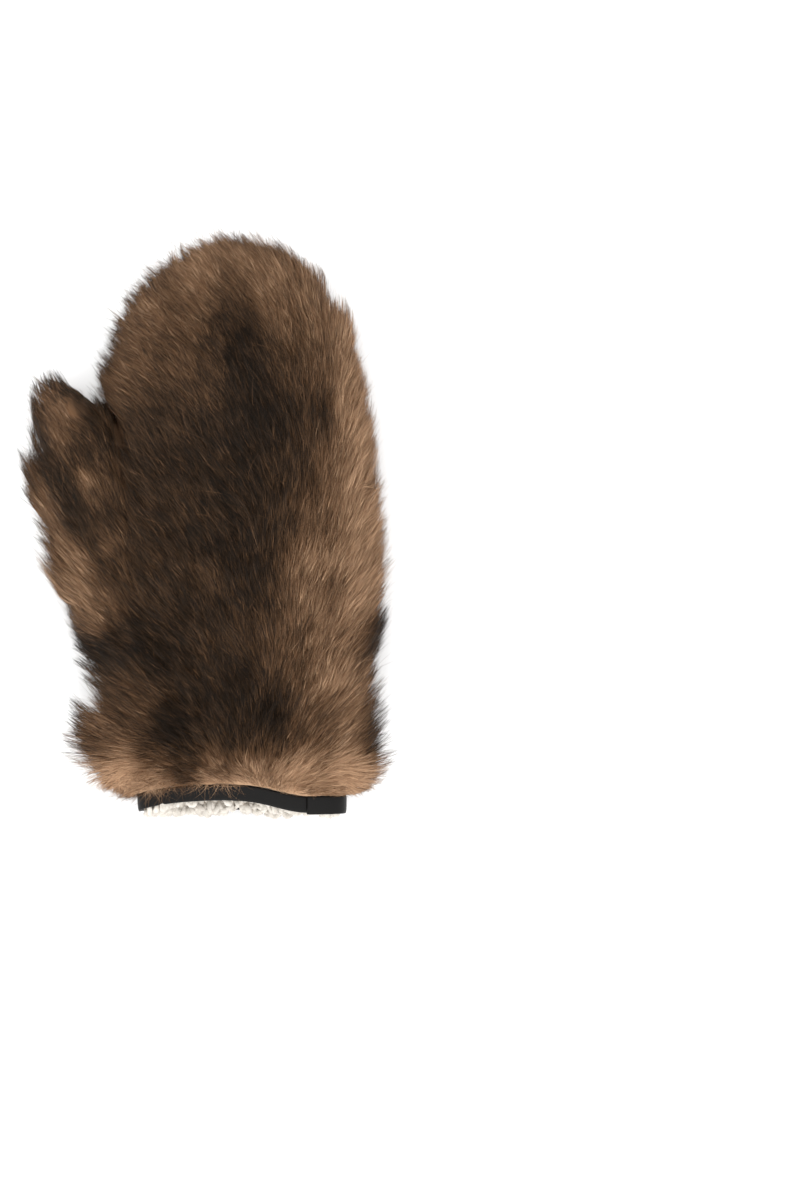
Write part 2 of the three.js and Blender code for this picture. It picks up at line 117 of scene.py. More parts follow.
# The coat's markings, with patches of painted shade and painted light among them: a soft patch at a place,
# half as wide and long as given, its long side turned from the fingers to the left, from 0, light tan, to 1,
# near black.
MARK_COLUMNS = ("x", "y", "half_width", "half_length", "turn", "tone")
MARK_AND_PAINTED_LIGHT_ROWS = (
    # the fingertips and the upper left of the hand
    (5, 134, 26, 13, 80, 0.34), (38, 126, 20, 14, -60, 0.34), (57, 123, 10, 8, -40, 0.20),
    (44, 105, 8, 12, 0, 0.40), (-22, 116, 14, 14, 40, 0.46),
    (-36, 98, 10, 20, 20, 0.52), (-18, 96, 14, 16, 30, 0.57), (-38, 73, 14, 14, 45, 0.55),
    (-12, 66, 16, 20, 35, 0.60), (-26, 50, 14, 12, 45, 0.80), (58, 98, 10, 26, 10, 0.42),
    # the dark streak from the fingertips that opens into the dark centre
    (16, 116, 6, 14, 5, 0.66), (17, 92, 8, 18, 5, 0.88), (26, 64, 11, 22, 10, 0.95),
    (34, 42, 13, 20, 10, 0.98), (20, 20, 24, 26, 10, 0.90), (14, -22, 24, 28, 0, 0.90),
    (-16, 24, 16, 24, 20, 0.82), (-20, -10, 14, 22, 20, 0.78), (62, 50, 4, 14, 0, 0.80),
    (46, 76, 10, 18, 10, 0.62), (46, 14, 10, 24, 5, 0.66), (4, -32, 9, 9, 0, 0.50),
    # the light stripe down the right side
    (76, 92, 8, 18, 5, 0.10), (80, 58, 9, 26, 0, 0.06), (76, 12, 12, 30, 0, 0.14),
    (58, -22, 13, 22, -15, 0.20), (82, -36, 9, 18, -10, 0.06), (66, -36, 5, 8, 0, 0.50),
    (90, -62, 8, 14, -10, 0.98), (68, -78, 12, 18, -10, 0.24), (57, -68, 6, 10, 0, 0.50),
    (55, -107, 9, 12, 0, 0.60), (91, -104, 7, 18, 0, 0.98), (89, -82, 5, 9, 0, 0.80),
    (74, -94, 9, 14, 0, 0.34), (69, 31, 5, 14, 0, 0.52), (84, -4, 5, 14, 0, 0.04),
    (72, 104, 7, 10, 0, 0.16),
    # the dark lower middle and its lighter breaks
    (-26, -64, 14, 14, 30, 0.96), (-52, -70, 8, 10, 30, 0.90), (-14, -106, 13, 9, 70, 1.00),
    (36, -98, 11, 8, 60, 1.00), (12, -86, 22, 18, 0, 0.90), (14, -60, 10, 8, 30, 0.66),
    (48, -84, 7, 12, 0, 0.46),
    (40, -63, 10, 12, 20, 0.54), (-38, -91, 12, 12, 30, 0.68), (-2, -48, 10, 10, 0, 0.84),
    # the light left edge below the thumb
    (-76, 2, 7, 16, 15, 0.40), (-66, -22, 8, 18, 20, 0.30), (-61, -44, 8, 12, 25, 0.34),
    (-46, -42, 8, 10, 30, 0.58), (-46, -9, 7, 8, 30, 0.60), (-30, -34, 10, 12, 30, 0.72),
    # the thumb
    (-82, 70, 12, 7, 60, 0.66), (-71, 46, 7, 14, 22, 0.48), (-86, 48, 5, 14, 8, 0.86),
    (-78, 28, 6, 20, 22, 0.92), (-64, 2, 7, 18, 32, 0.96), (-58, 19, 4, 8, 25, 0.30),
    (-53, 8, 3, 6, 30, 0.66),
    (-85, 20, 4, 14, 18, 0.50), (-52, 32, 6, 11, 20, 0.70), (-64, 27, 6, 10, 20, 0.74),
    # painted shade: the three dark patches below lie along the crease where the thumb meets the hand
    (-47, 49, 5, 11, 40, 0.80), (-35, 33, 6, 12, 40, 0.82), (-27, 16, 7, 12, 25, 0.80),
    (-49, -4, 7, 10, 25, 0.72),
    (-58, 36, 7, 11, 20, 0.74), (-63, 64, 5, 14, 48, 0.92),
    # breaks in the markings
    (-15, 53, 9, 10, 0, 0.92), (3, 44, 9, 8, 0, 0.95), (7, 70, 7, 7, 0, 0.75), (62, -1, 9, 14, 0, 0.58),
    (-24, -121, 9, 9, 50, 0.80), (0, -112, 14, 9, 80, 0.95), (22, -112, 10, 9, 0, 1.0),
    (44, -110, 10, 7, 0, 0.8),
    # the hem; the light strip along its lower edge is partly the light roots that show there and partly
    # painted light where the sparse hem hair catches the light
    (-58, -100, 8, 8, 30, 0.40), (-48, -114, 10, 9, 40, 0.56), (-44, -128, 13, 10, 50, 0.0),
    (-69, -110, 4, 11, 0, 0.90), (-26, -129, 14, 8, 60, 0.12), (4, -127, 14, 7, 90, 0.16),
    (-6, -119, 12, 4, 80, 0.66), (24, -127, 16, 8, 90, 0.12), (50, -128, 18, 10, 90, 0.04),
    (76, -127, 12, 10, 0, 0.06), (-67, -72, 4, 9, 20, 0.96),
)
# The tone and weight of the coat without a marking, how sharply the markings fade, the heights over which
# they come in full from the palm to the back, and the palm's share of them over its own tone.
BASE_TONE = 0.6
BASE_WEIGHT = 0.12
MARK_FADE = 1.1
MARKS_RISE = (8, 26)
PALM_MARKS = 0.35
PALM_TONE = 0.5
TONE_RANGE = (0.02, 0.98)

# Where the coat stands fuller or flatter than the rest, as a change of the share of the pile. Short hair
# and tufts may differ there, because at a wispy place only the tufts reach the outline.
LOFT_COLUMNS = ("x", "y", "reach", "short", "tufts")
HAND_LOFT = (
    (-68, -106, 11, 0.30, 0.6), (-63, -121, 9, 0.7, 0.9), (-46, -138, 12, 0.5, 0.5),
    (84, -138, 12, 0.65, 0.6),
    (88, 34, 16, 0.3, 0.3), (76, 96, 9, 0.28, 0.28), (56, 130, 8, -0.3, -0.3), (66, 119, 6, 0.2, 0.2),
    (72, 111, 7, -0.5, -0.5), (52, 132, 14, 0.35, 0.4),
    (92, -20, 30, 0.2, 0.15), (-10, 141, 13, -0.35, -0.25), (-30, 128, 11, -0.25, -0.15),
    (-53, 67, 11, 0.62, 0.36),
    (-54, 57, 6, 0.25, 0.0), (-63, -68, 9, 0.4, 0.5), (92, -63, 8, 0.42, 0.32), (94, -90, 9, -0.4, -0.4),
    (87, 62, 12, 0.15, 0.15),
    (-62, -96, 6, -0.8, -0.6), (-44, 36, 12, -0.45, -0.6), (93, -119, 11, 0.55, 0.5),
    (-40, 8, 10, -0.2, -0.3),
    (85, 80, 8, -0.15, -0.15),
)
THUMB_LOFT = (
    (-82, 77, 12, -0.6, -0.2), (-72, 80, 6, 0.1, 0.5), (-92, 9, 9, 0.55, 0.85), (-91, 31, 9, -0.95, -0.9),
    (-56, 64, 9, -1.5, -1.7),
    (-69, 75, 8, 0.3, 0.3), (-69, -52, 7, -0.35, -0.25), (-73, -41, 9, 0.6, 0.6),
    (-83, -17, 10, -0.35, -0.45),
    (-87, 58, 7, -0.1, 0.1),
)

# Long wisps that stand off the outline: where each is rooted, its lean to the left of the fingers in
# degrees, its length, how widely it is rooted and how many hairs it has.
WISP_COLUMNS = ("x", "y", "lean", "length", "spread", "hairs")
WISP_ROWS = (
    # the thumb's left side, from its foot to its tip
    (-76, -22, 46, 11, 4, 30), (-78, -14, 46, 12, 4, 30), (-80, -6, 44, 12, 3, 24),
    (-82, 2, 33, 22, 1.6, 70),
    (-83, 6, 31, 18, 2.5, 50), (-84, 9, 20, 29, 1.2, 80), (-84, 14, 17, 20, 1.6, 40),
    (-84, 20, 16, 17, 1.6, 30),
    (-85, 34, 19, 17, 2, 30), (-86, 40, 12, 13, 2, 40), (-86, 50, 8, 17, 2, 36), (-85, 55, 10, 17, 2, 40),
    (-82, 60, 13, 16, 2.5, 36), (-79, 62, 16, 17, 2.5, 34), (-75, 62, 19, 19, 2.5, 34),
    (-71, 63, 26, 18, 2.5, 44),
    (-66, 61, 34, 21, 2.5, 60), (-61, 57, 42, 22, 2.5, 60), (-56, 52, 46, 22, 2.5, 60),
    # the left of the hand, from the thumb to the fingertips
    (-46, 64, 50, 12, 3, 34), (-47, 70, 50, 12, 3, 34),
    (-47, 75, 50, 12, 3, 34), (-45, 79, 48, 12, 3, 34), (-43, 84, 48, 12, 3, 34), (-41, 88, 50, 12, 3, 34),
    (-39, 93, 48, 12, 3, 34), (-37, 97, 46, 13, 3, 40), (-34, 101, 46, 13, 3, 40),
    (-33, 107, 44, 14, 3, 44),
    (-30, 111, 44, 14, 3, 44), (-26, 115, 44, 13, 3, 40), (-22, 120, 42, 13, 3, 40),
    (-17, 124, 40, 12, 3, 36),
    (-12, 128, 38, 12, 3, 36), (-7, 131, 34, 12, 3, 34), (-2, 133, 30, 12, 3, 34), (3, 135, 26, 12, 3, 34),
    # over the fingertips and down the right side
    (9, 136, 22, 12, 3, 30), (17, 136, 8, 17, 0.8, 12), (14, 137, -24, 12, 1.2, 16),
    (16, 136, 20, 12, 3, 30), (24, 134, 18, 12, 3, 30), (32, 130, 12, 13, 3, 34),
    (41, 125, 8, 13, 3, 34), (50, 118, 4, 14, 3, 34), (58, 109, 2, 14, 3, 34), (66, 99, 4, 14, 3, 34),
    (72, 86, 0, 14, 3, 34), (76, 72, -2, 14, 3, 34), (79, 58, -4, 14, 3, 34), (82, 44, -4, 14, 3, 34),
    (84, 30, -6, 13, 3, 30), (85, 16, -10, 13, 3, 30), (86, 2, -12, 13, 3, 30), (86, -12, -14, 13, 3, 30),
    (86, -26, -16, 13, 3, 30), (86, -40, -20, 13, 3, 30), (85, -54, -22, 14, 3, 34),
    (84, -66, -24, 14, 3, 34),
    (83, -84, -28, 14, 3, 34), (83, -98, -32, 14, 3, 34), (83, -112, -40, 13, 3, 34),
    (82, -122, -54, 13, 3, 34),
    # the left side below the thumb, and the full tuft at the hem
    (-58, -70, 48, 13, 3, 40), (-57, -77, 50, 13, 3, 36), (-55, -84, 50, 12, 3, 30),
    (-58, -99, 50, 16, 3, 46),
    (-58, -104, 52, 17, 3, 50), (-58, -109, 53, 17, 3, 50), (-57, -114, 54, 17, 3, 50),
    (-56, -119, 56, 15, 3, 44),
    (-52, -126, 64, 12, 3, 30), (-46, -132, 78, 10, 3, 24),
)

COLUMNS_ROUND = 128
HAND_STEPS = 90
THUMB_STEPS = 50
HIDDEN_STEPS = 32
# Where a strand has its sections, from root to tip, and how wide it is at some of them.
SHORT_LEVELS = np.array([0.0, 0.5, 1.0])
LONG_LEVELS = np.array([0.0, 0.3, 0.58, 0.82, 1.0])
TAPER_LEVELS = (0, 0.3, 0.6, 0.82)
TAPER = (0.8, 1.0, 0.85, 0.6)
# How far a ribbon turns on its own length, and how its climb, its share of the pile and its pull grow.
ROLL = 0.8
CLIMB_CURVE = 0.85
SHARE_CURVE = 0.8
PULL_CURVE = 1.4

# The map that holds a strand's tone and the way up it, the width of a strand in it and its margin.
MAP_NAME = "OFBake"
MAP_WIDTH = 0.004
MAP_MARGIN = 0.02

# Each seed gives one piece its own random numbers, the same at each run.
SEEDS = {
    "back fur": 20, "palm fur": 21, "thumb fur": 22, "tufts": 23, "loose hair": 24, "wisps": 25,
    "wool curls": 31,
}

# The noise: sines in each octave, how much finer and fainter each octave is, and the sines' phases.
WAVES = 5
WAVE_FINER = 1.9
WAVE_FAINTER = 0.6
PHASES = (0, 6.28)

# Hair that would meet the surface below bends level over this height and stays clear of the surface.
FLOOR_CLEARANCE = 0.4
FLOOR_SOFTNESS = 3.0

# The undercoat: its place on a strand's colour, its mottle, how it follows the loft, its least share
# and its bumps. The hidden inner face lies just inside the leather's.
UNDERCOAT_LEVEL = 0.3
UNDERCOAT_MOTTLE = 0.08
UNDERCOAT_LOFT = 0.6
UNDERCOAT_LEAST = 0.05
UNDERCOAT_BUMP = 0.7
OVERLAP = 0.1
WELD_REACH = 0.02

# How far large locks, small locks and single hairs differ: where they end, their lean, their bend, their
# length and their tone. A single hair's tone is a setting.
LARGE_LOCK = (0.07, 0.07, 0.06, 0.10, 0.03)
SMALL_LOCK = (0.07, 0.07, 0.07, 0.15, 0.05)
SINGLE_HAIR = (0.10, 0.09, 0.07, 0.22)
SMALL_IN_LARGE = 12
# How strongly small locks and hairs are drawn to the lock they are in, and how much more so in tufts.
LOCK_PULL = (0.2, 0.8)
HAIR_PULL = (0.2, 1.7)
TUFT_GATHER = (1.1, 1.5)
# Roots lie below the undercoat's top, tips at least a little above their roots.
SCATTER_SHARE = 0.8
ROOT_DEPTH = 0.12
ROOT_SPREAD = 0.05
LEAST_RISE = 0.05
LENGTH_RANGE = (0.4, 1.9)
HUG_SPREAD = 0.12
HUG_RANGE = (0.1, 1)
DARKER = 0.3
COAT_MOTTLE = 0.05
# The heights at which the back of the hand and of the thumb turn to their palm side.
HAND_SIDE = 16
THUMB_SIDE = 12
THUMB_PALM_SHARE = 0.4
THUMB_SHORTER = 0.95
PALM_WIDER = 1.8
HEM_HAIR_Y = -118
HEM_SHORTER = 0.25

# Tufts stand where the form turns from level to steep, and a little off the surface below.
TUFTS_HIDE = 0.5
TUFT_SLOPES = (-0.75, -0.35)
TUFT_HEIGHTS = (6, 14)
TUFT_LENGTHS = (0.7, 1.15)
TUFT_HEM_SHORTER = 0.3
TUFT_DARKER = 0.06

# The hairs of a wisp: how they spread at the root, gather at the tip and differ, and how dark they are
# beside the coat. Their lean differs by an angle in degrees over the wisp's length.
WISP_LEAN = 70
WISP_CLIMB = (0.02, 0.16)
WISP_SPREAD = 0.45
WISP_BACK = (0, 5)
WISP_HEIGHTS = (14, 30)
WISP_LENGTHS = (0.55, 1.05)
WISP_GATHER = 0.8
WISP_TIGHT = (0.4, 1.2)
WISP_SWAY = 0.05
WISP_TONE = 0.58
WISP_COAT_SHARE = 0.3
WISP_TONE_SPREAD = 0.1

# The hem's fine hair: where it is rooted, in half turns round the wrist and in shares of the pile, and
# its length in the middle, elsewhere and for the few long ones. It leans and sways over the band.
HEM_MIDDLE_SHARE = 0.85
HEM_MIDDLE = (0.5, 0.8)
HEM_ROUND_BACK = (0.08, 0.92)
HEM_ROOTS = (0.5, 5)
HEM_ROOT_SHARES = (0.15, 0.5)
HEM_LENGTHS = (3, 9)
HEM_MIDDLE_LONGER = 1.2
HEM_REST_SHORTER = 0.5
HEM_LONG_SHARE = 0.04
HEM_LONG = 1.7
HEM_LEAN = (-0.7, 0.85)
HEM_CLIMB = (-0.1, 0.25)
HEM_ASIDE = (0, 0.7)
HEM_AHEAD = (0.15, 0.4)
HEM_DROOP = (0, 0.4)
HEM_TONE = (0.02, 0.12)
HEM_TONES = (0.02, 0.9)

# Stray hairs keep clear of the other form, by its own radius.
STRAYS_CLEAR = 1.3
STRAY_LEAN = 0.45
STRAY_LIFT = (0.0, 0.35)
STRAY_SWAY = 0.3
STRAY_DROOP = 0.12
STRAY_ROOT = 0.8
STRAY_LENGTHS = (10, 22)
STRAY_COAT_SHARE = 0.55
STRAY_TONE = 0.28
STRAY_TONE_SPREAD = 0.12

# The wool: its shell starts inside the edge, and its curls stand out of it. Curls lie on the lip or
# deeper inside, more of them on the lower lip, in half turns round it.
WOOL_INSET = 1.5
WOOL_OUT = 0.6
WOOL_BUMP = 0.9
# How much more of the painted shade colour the darker tint of the wool's cloudy patches holds than the
# lighter one.
FLEECE_CLOUDS = 0.45
LIP_SHARE = 0.66
LOWER_LIP_SHARE = 0.45
LOWER_LIP = (0.04, 0.96)
LIP_DEEP = (0, 9)
LIP_EDGE = 1.2
LIP_DEPTH = (0.4, 1.0)
INSIDE_DEEP = (8, 55)
CURL_DEPTH = (-0.6, 1.0)
CURL_AXES = np.array([1.0, 0.5, 1.0])
CURL_THICK = (1.1, 1.9)
CURL_TURNS = (0.8, 1.6)
CURL_CLIMB = (0.6, 2.2)
CURL_END = 0.05
CURL_STEPS = 12
CURL_SIDES = 6

# The band's section has nearly square ends and a flat face, and its face waves a little.
BAND_SIDES = 20
BAND_EDGE = 0.6
BAND_FACE = 0.8
BAND_WAVES = 9
BAND_SWELL = 0.15
BAND_STEPS = 240
LAP_STEPS = 60
LAP_BELOW = 0.8
WORN_LEATHER = 1.7

# The camera looks straight down, and its frame is 612 mm from top to bottom.
SENSOR = 36.0
FRAME_LONG_SIDE = 612.0
FRAME_MIDDLE = (100.2, -39.8)
FOCUS_HEIGHT = 30.0
FLOOR_REACH = 3


def columns(names, rows):
    """The columns of a table, by name."""
    table = np.array(rows, float)
    return {name: table[:, i] for i, name in enumerate(names)}


def smoothstep(value, low, high):
    """0 up to low and 1 from high, with a smooth rise between."""
    t = np.clip((value - low) / (high - low), 0, 1)
    return t * t * (3 - 2 * t)


def away(points, x, y, reach):
    """The square of each point's distance from a place seen from above, counted in the place's reach."""
    return ((points[..., 0] - x) ** 2 + (points[..., 1] - y) ** 2) / reach**2


def loft_at(form, points, kind):
    """The change of the pile's share at a place, for short hair or for tufts."""
    table = columns(LOFT_COLUMNS, form.loft)
    total = np.zeros(points.shape[:-1])
    for x, y, reach, change in zip(table["x"], table["y"], table["reach"], table[kind]):
        total += change * np.exp(-away(points, x, y, reach))
    return total


def unit(vectors):
    return vectors / np.maximum(np.linalg.norm(vectors, axis=-1, keepdims=True), 1e-9)


def along_rows(table, place):
    """A smooth curve through the rows of a table, at places counted in rows."""
    last = len(next(iter(table.values()))) - 1
    at = np.clip(place, 0, last)
    i = np.minimum(np.floor(at).astype(int), last - 1)
    u = at - i
    square, cube = u * u, u * u * u
    found = {}
    for name, values in table.items():
        before, a = values[np.clip(i - 1, 0, last)], values[i]
        b, after = values[i + 1], values[np.clip(i + 2, 0, last)]
        found[name] = (
            (2 * cube - 3 * square + 1) * a
            + (cube - 2 * square + u) * (b - before) / 2
            + (3 * square - 2 * cube) * b
            + (cube - square) * (after - a) / 2
        )
    return found


def square_round(value):
    """The sine or cosine of a turn, made fuller for the sections' rounded square."""
    return np.sign(value) * np.abs(value) ** (2 / FULLNESS)


def over_tip(start, last, steps, body_share):
    """Stations from a start to a form's last row, and from there over its round tip."""
    body = int(steps * body_share)
    place = np.concatenate([np.linspace(start, last, body), np.full(steps - body, float(last))])
    dome = np.concatenate([np.zeros(body), np.linspace(0, math.pi / 2, steps - body + 1)[1:]])
    return place, dome


class HandForm:
    """The hand of the mitten: sections along Y under a half ellipsoid tip. share is 0 on the leather and
    1 on the pile's outside, and even is how far all sides stand off it in millimetres."""

    table = columns(HAND_COLUMNS, HAND_ROWS)
    steps = HAND_STEPS
    loft = HAND_LOFT
    # The thumb's hair isn't rooted below this share of the hand's pile.
    hides = 0.45
    body_share = 0.66

    def rows(self, y):
        return along_rows(self.table, np.interp(y, self.table["y"], np.arange(len(HAND_ROWS))))

    @staticmethod
    def hem_share(y):
        u = np.clip((y - MOUTH_Y - BAND_HEIGHT) / HEM_ROUND, 0, 1)
        return np.sqrt(np.maximum(0, 1 - (1 - u) ** 2))

    @staticmethod
    def arch(y, up, across):
        fade = 1 - smoothstep(y, MOUTH_Y, MOUTH_Y + ARCH_REACH)
        return MOUTH_ARCH * np.maximum(0, up) ** ARCH_CURVE * (1 - smoothstep(across, *ARCH_FALL)) * fade

    def sides(self, y, across, up, even, share):
        row = self.rows(np.minimum(y, DOME_Y))
        grown = share * self.hem_share(np.minimum(y, DOME_Y))
        pile_x = np.where(across > 0, row["pile_right"], row["pile_left"])
        pile_z = np.where(up > 0, row["pile_back"], row["pile_palm"])
        half_x = (row["right"] - row["left"]) / 2 + even + grown * pile_x
        half_z = (row["high"] - row["low"]) / 2 + even + grown * pile_z
        return (row["left"] + row["right"]) / 2, (row["low"] + row["high"]) / 2, half_x, half_z

    def point(self, y, dome, turn, even=0.0, share=0.0):
        up, across = np.sin(turn), np.cos(turn)
        mid_x, mid_z, half_x, half_z = self.sides(y, across, up, even, share)
        reach = TIP_Y - DOME_Y + even + share * TIP_PILE
        place = np.where(dome > 0, DOME_Y + reach * np.sin(dome), y + self.arch(y, up, across))
        shrink = np.where(dome > 0, np.cos(dome), 1)
        x = mid_x + half_x * shrink * square_round(across)
        z = mid_z + half_z * shrink * square_round(up)
        return np.stack(np.broadcast_arrays(x, place, z), -1)

    def stations(self, start=MOUTH_Y + BAND_HEIGHT + GAP, steps=None):
        return over_tip(start, DOME_Y, steps or self.steps, self.body_share)

    def ratio(self, points, share, even=0.0):
        """How far out each point is as a share of the form's own radius there, and the form's middle."""
        y = points[..., 1]
        row = self.rows(np.minimum(y, DOME_Y))
        rise = (points[..., 2] - (row["low"] + row["high"]) / 2) / ((row["high"] - row["low"]) / 2)
        across = points[..., 0] - (row["left"] + row["right"]) / 2
        aside = np.clip(across / ((row["right"] - row["left"]) / 2), -1, 1)
        turned = np.sign(aside) * np.abs(aside) ** (FULLNESS / 2)
        flat_y = y - self.arch(y, np.clip(rise, 0, 1), turned)
        mid_x, mid_z, half_x, half_z = self.sides(flat_y, across, rise, even, share)
        middle = np.stack([mid_x, np.minimum(y, DOME_Y), mid_z], -1)
        flat = np.abs((points[..., 0] - mid_x) / half_x) ** FULLNESS
        flat = (flat + np.abs((points[..., 2] - mid_z) / half_z) ** FULLNESS) ** (1 / FULLNESS)
        reach = TIP_Y - DOME_Y + even + share * TIP_PILE
        ahead = np.maximum(0, y - DOME_Y) / reach
        return np.sqrt(flat**2 + ahead**2), middle


class ThumbForm:
    """The thumb: sections along its own heading under a round tip."""

    table = columns(THUMB_COLUMNS, THUMB_ROWS)
    steps = THUMB_STEPS
    loft = THUMB_LOFT
    # The hand's hair isn't rooted below this share of the thumb's pile.
    hides = 0.35
    body_share = 0.62

    def __init__(self):
        start = np.array(THUMB_ROWS[0][:2])
        self.along = (np.array([row[:2] for row in THUMB_ROWS]) - start) @ THUMB_HEADING
        self.start = start

    def sides(self, place, across, up, even, share):
        row = along_rows(self.table, place)
        pile_x = np.where(across > 0, row["pile_right"], row["pile_left"])
        pile_z = np.where(up > 0, row["pile_back"], row["pile_palm"])
        half_x = row["half"] + even + share * pile_x
        half_z = (row["high"] - row["low"]) / 2 + even + share * pile_z
        return row, (row["low"] + row["high"]) / 2, half_x, half_z

    def point(self, place, dome, turn, even=0.0, share=0.0):
        up, across = np.sin(turn), np.cos(turn)
        row, mid_z, half_x, half_z = self.sides(place, across, up, even, share)
        ahead = (THUMB_DOME + even + share * TIP_PILE) * np.sin(dome)
        aside = half_x * np.cos(dome) * square_round(across)
        x = row["x"] + THUMB_HEADING[0] * ahead + THUMB_HEADING[1] * aside
        y = row["y"] + THUMB_HEADING[1] * ahead - THUMB_HEADING[0] * aside
        z = mid_z + half_z * np.cos(dome) * square_round(up)
        return np.stack(np.broadcast_arrays(x, y, z), -1)

    def stations(self, steps=None):
        return over_tip(0, len(THUMB_ROWS) - 1, steps or self.steps, self.body_share)

    def ratio(self, points, share, even=0.0):
        ahead = (points[..., :2] - self.start) @ THUMB_HEADING
        place = np.interp(ahead, self.along, np.arange(len(self.along)))
        row = along_rows(self.table, place)
        offset = points[..., :2] - np.stack([row["x"], row["y"]], -1)
        aside = offset @ np.array([THUMB_HEADING[1], -THUMB_HEADING[0]])
        rise = points[..., 2] - (row["low"] + row["high"]) / 2
        _, mid_z, half_x, half_z = self.sides(place, aside, rise, even, share)
        flat = np.abs(aside / half_x) ** FULLNESS + np.abs((points[..., 2] - mid_z) / half_z) ** FULLNESS
        past = np.maximum(0, ahead - self.along[-1]) / (THUMB_DOME + even + share * TIP_PILE)
        middle = np.stack([row["x"], row["y"], mid_z], -1)
        return np.sqrt(flat ** (2 / FULLNESS) + past**2), middle


HAND = HandForm()
THUMB = ThumbForm()


def on_share(form, points, share):
    """The points moved in or out from the form's middle until they lie on the given share of the pile."""
    out, middle = form.ratio(points, share)
    return middle + (points - middle) / out[..., None]


def nap_at(points):
    """The unit direction that the tips point, level with the surface below, from the nap's table."""
    table = columns(NAP_COLUMNS, NAP_ROWS)
    total = np.zeros(points.shape[:-1] + (2,))
    weight = np.zeros(points.shape[:-1])
    for x, y, lean in zip(table["x"], table["y"], np.radians(table["lean"])):
        near = 1 / (away(points, x, y, NAP_REACH) + NAP_BLEND) ** 2
        total += near[..., None] * np.array([-math.sin(lean), math.cos(lean)])
        weight += near
    flat = total / weight[..., None]
    return unit(np.concatenate([flat, np.zeros(flat.shape[:-1] + (1,))], -1))


def tone_at(points):
    """How dark the coat is at a place, from the table of markings, painted shade and painted light."""
    x, y = points[..., 0], points[..., 1]
    total = np.full(x.shape, BASE_WEIGHT * BASE_TONE)
    weight = np.full(x.shape, BASE_WEIGHT)
    rows = zip(*columns(MARK_COLUMNS, MARK_AND_PAINTED_LIGHT_ROWS).values())
    for mark_x, mark_y, half_width, half_length, turn, tone in rows:
        angle = math.radians(turn)
        aside = (x - mark_x) * math.cos(angle) + (y - mark_y) * math.sin(angle)
        along = -(x - mark_x) * math.sin(angle) + (y - mark_y) * math.cos(angle)
        near = np.exp(-MARK_FADE * ((aside / half_width) ** 2 + (along / half_length) ** 2))
        total += near * tone
        weight += near
    top = smoothstep(points[..., 2], *MARKS_RISE)
    return top * total / weight + (1 - top) * (PALM_MARKS * total / weight + (1 - PALM_MARKS) * PALM_TONE)


def in_range(tone):
    """The tone kept off the ends of its map."""
    return np.clip(tone, *TONE_RANGE)


def form_grid(form, share, even=0.0, **options):
    """Rings of points over a form, from its open end to its tip."""
    stations = form.stations(**options)
    turn = np.linspace(0, 2 * math.pi, COLUMNS_ROUND, endpoint=False)
    return form.point(stations[0][:, None], stations[1][:, None], turn[None, :], even, share)


def grid_normals(grid):
    """The unit normals of a grid of rings, pointing outwards."""
    ahead = np.gradient(grid, axis=0)
    wrapped = np.concatenate([grid[:, -1:], grid, grid[:, :1]], 1)
    round_ = (wrapped[:, 2:] - wrapped[:, :-2]) / 2
    return unit(np.cross(ahead, round_))


def scatter_roots(form, count, rng, weigh):
    """Roots spread evenly over a form's pile, as points on the outer pile with their normals."""
    grid = form_grid(form, SCATTER_SHARE)
    normals = grid_normals(grid)
    ahead = grid[1:] - grid[:-1]
    round_ = np.roll(grid, -1, 1)[:-1] - grid[:-1]
    area = np.linalg.norm(np.cross(ahead, round_), axis=-1)
    chance = area * weigh(grid[:-1], normals[:-1])
    chance = (chance / chance.sum()).ravel()
    cells = rng.choice(len(chance), size=count, p=chance)
    i, k = np.divmod(cells, grid.shape[1])
    u, v = rng.random(count)[:, None], rng.random(count)[:, None]
    after = (k + 1) % grid.shape[1]

    def blend(values):
        low = values[i, k] * (1 - v) + values[i, after] * v
        high = values[i + 1, k] * (1 - v) + values[i + 1, after] * v
        return low * (1 - u) + high * u

    return blend(grid), unit(blend(normals))


def settle(points):
    """Hair that would go through the surface below is pressed flat on it."""
    height = points[..., 2]
    pressed = FLOOR_CLEARANCE + (FLOOR_SOFTNESS - FLOOR_CLEARANCE) * np.exp(
        np.minimum(0, height - FLOOR_SOFTNESS) / (FLOOR_SOFTNESS - FLOOR_CLEARANCE)
    )
    points[..., 2] = np.where(height < FLOOR_SOFTNESS, pressed, height)
    return points


def strand_paths(form, levels, outer, normal, length, rise, lean, bend, hug, splay):
    """Points at the levels of each strand, from inside the pile to its tip. rise holds the shares of the
    pile that it starts and ends at, and lean and bend turn it aside from the nap. hug is how far it follows
    the form, and splay how much of the nap's outward slope it keeps."""
    nap = nap_at(outer)
    side = np.cross(nap, UP)
    nap = unit(nap + side * lean[:, None])
    outward = np.sum(nap * normal, -1, keepdims=True)
    tangent = unit(nap - normal * outward * np.where(outward > 0, 1 - splay, 1.0))
    low, high = rise
    root = on_share(form, outer, low)
    pile = np.linalg.norm(on_share(form, outer, 1.0) - on_share(form, outer, 0.0), axis=-1)
    level = levels[None, :, None]
    climb = (pile * (high - low))[:, None, None] * level**CLIMB_CURVE
    aside = np.cross(tangent, normal) * bend[:, None]
    straight = root[:, None] + normal[:, None] * climb
    straight = straight + (tangent[:, None] * level + aside[:, None] * level**2) * length[:, None, None]
    share = low[:, None] + (high - low)[:, None] * levels[None, :] ** SHARE_CURVE
    lying = on_share(form, straight, share)
    follow = hug[:, None, None]
    return straight * (1 - follow) + lying * follow


def nearest_of(places, guide_places):
    """The number of the guide that is nearest to each place."""
    tree = kdtree.KDTree(len(guide_places))
    for i, place in enumerate(guide_places):
        tree.insert(place, i)
    tree.balance()
    return np.array([tree.find(place)[1] for place in places])


def pulled(paths, guide_paths, levels, strength):
    """Strands drawn towards their guide, the more the nearer their tips, which parts the coat into locks."""
    return paths + (guide_paths - paths) * strength[:, None, None] * levels[None, :, None] ** PULL_CURVE


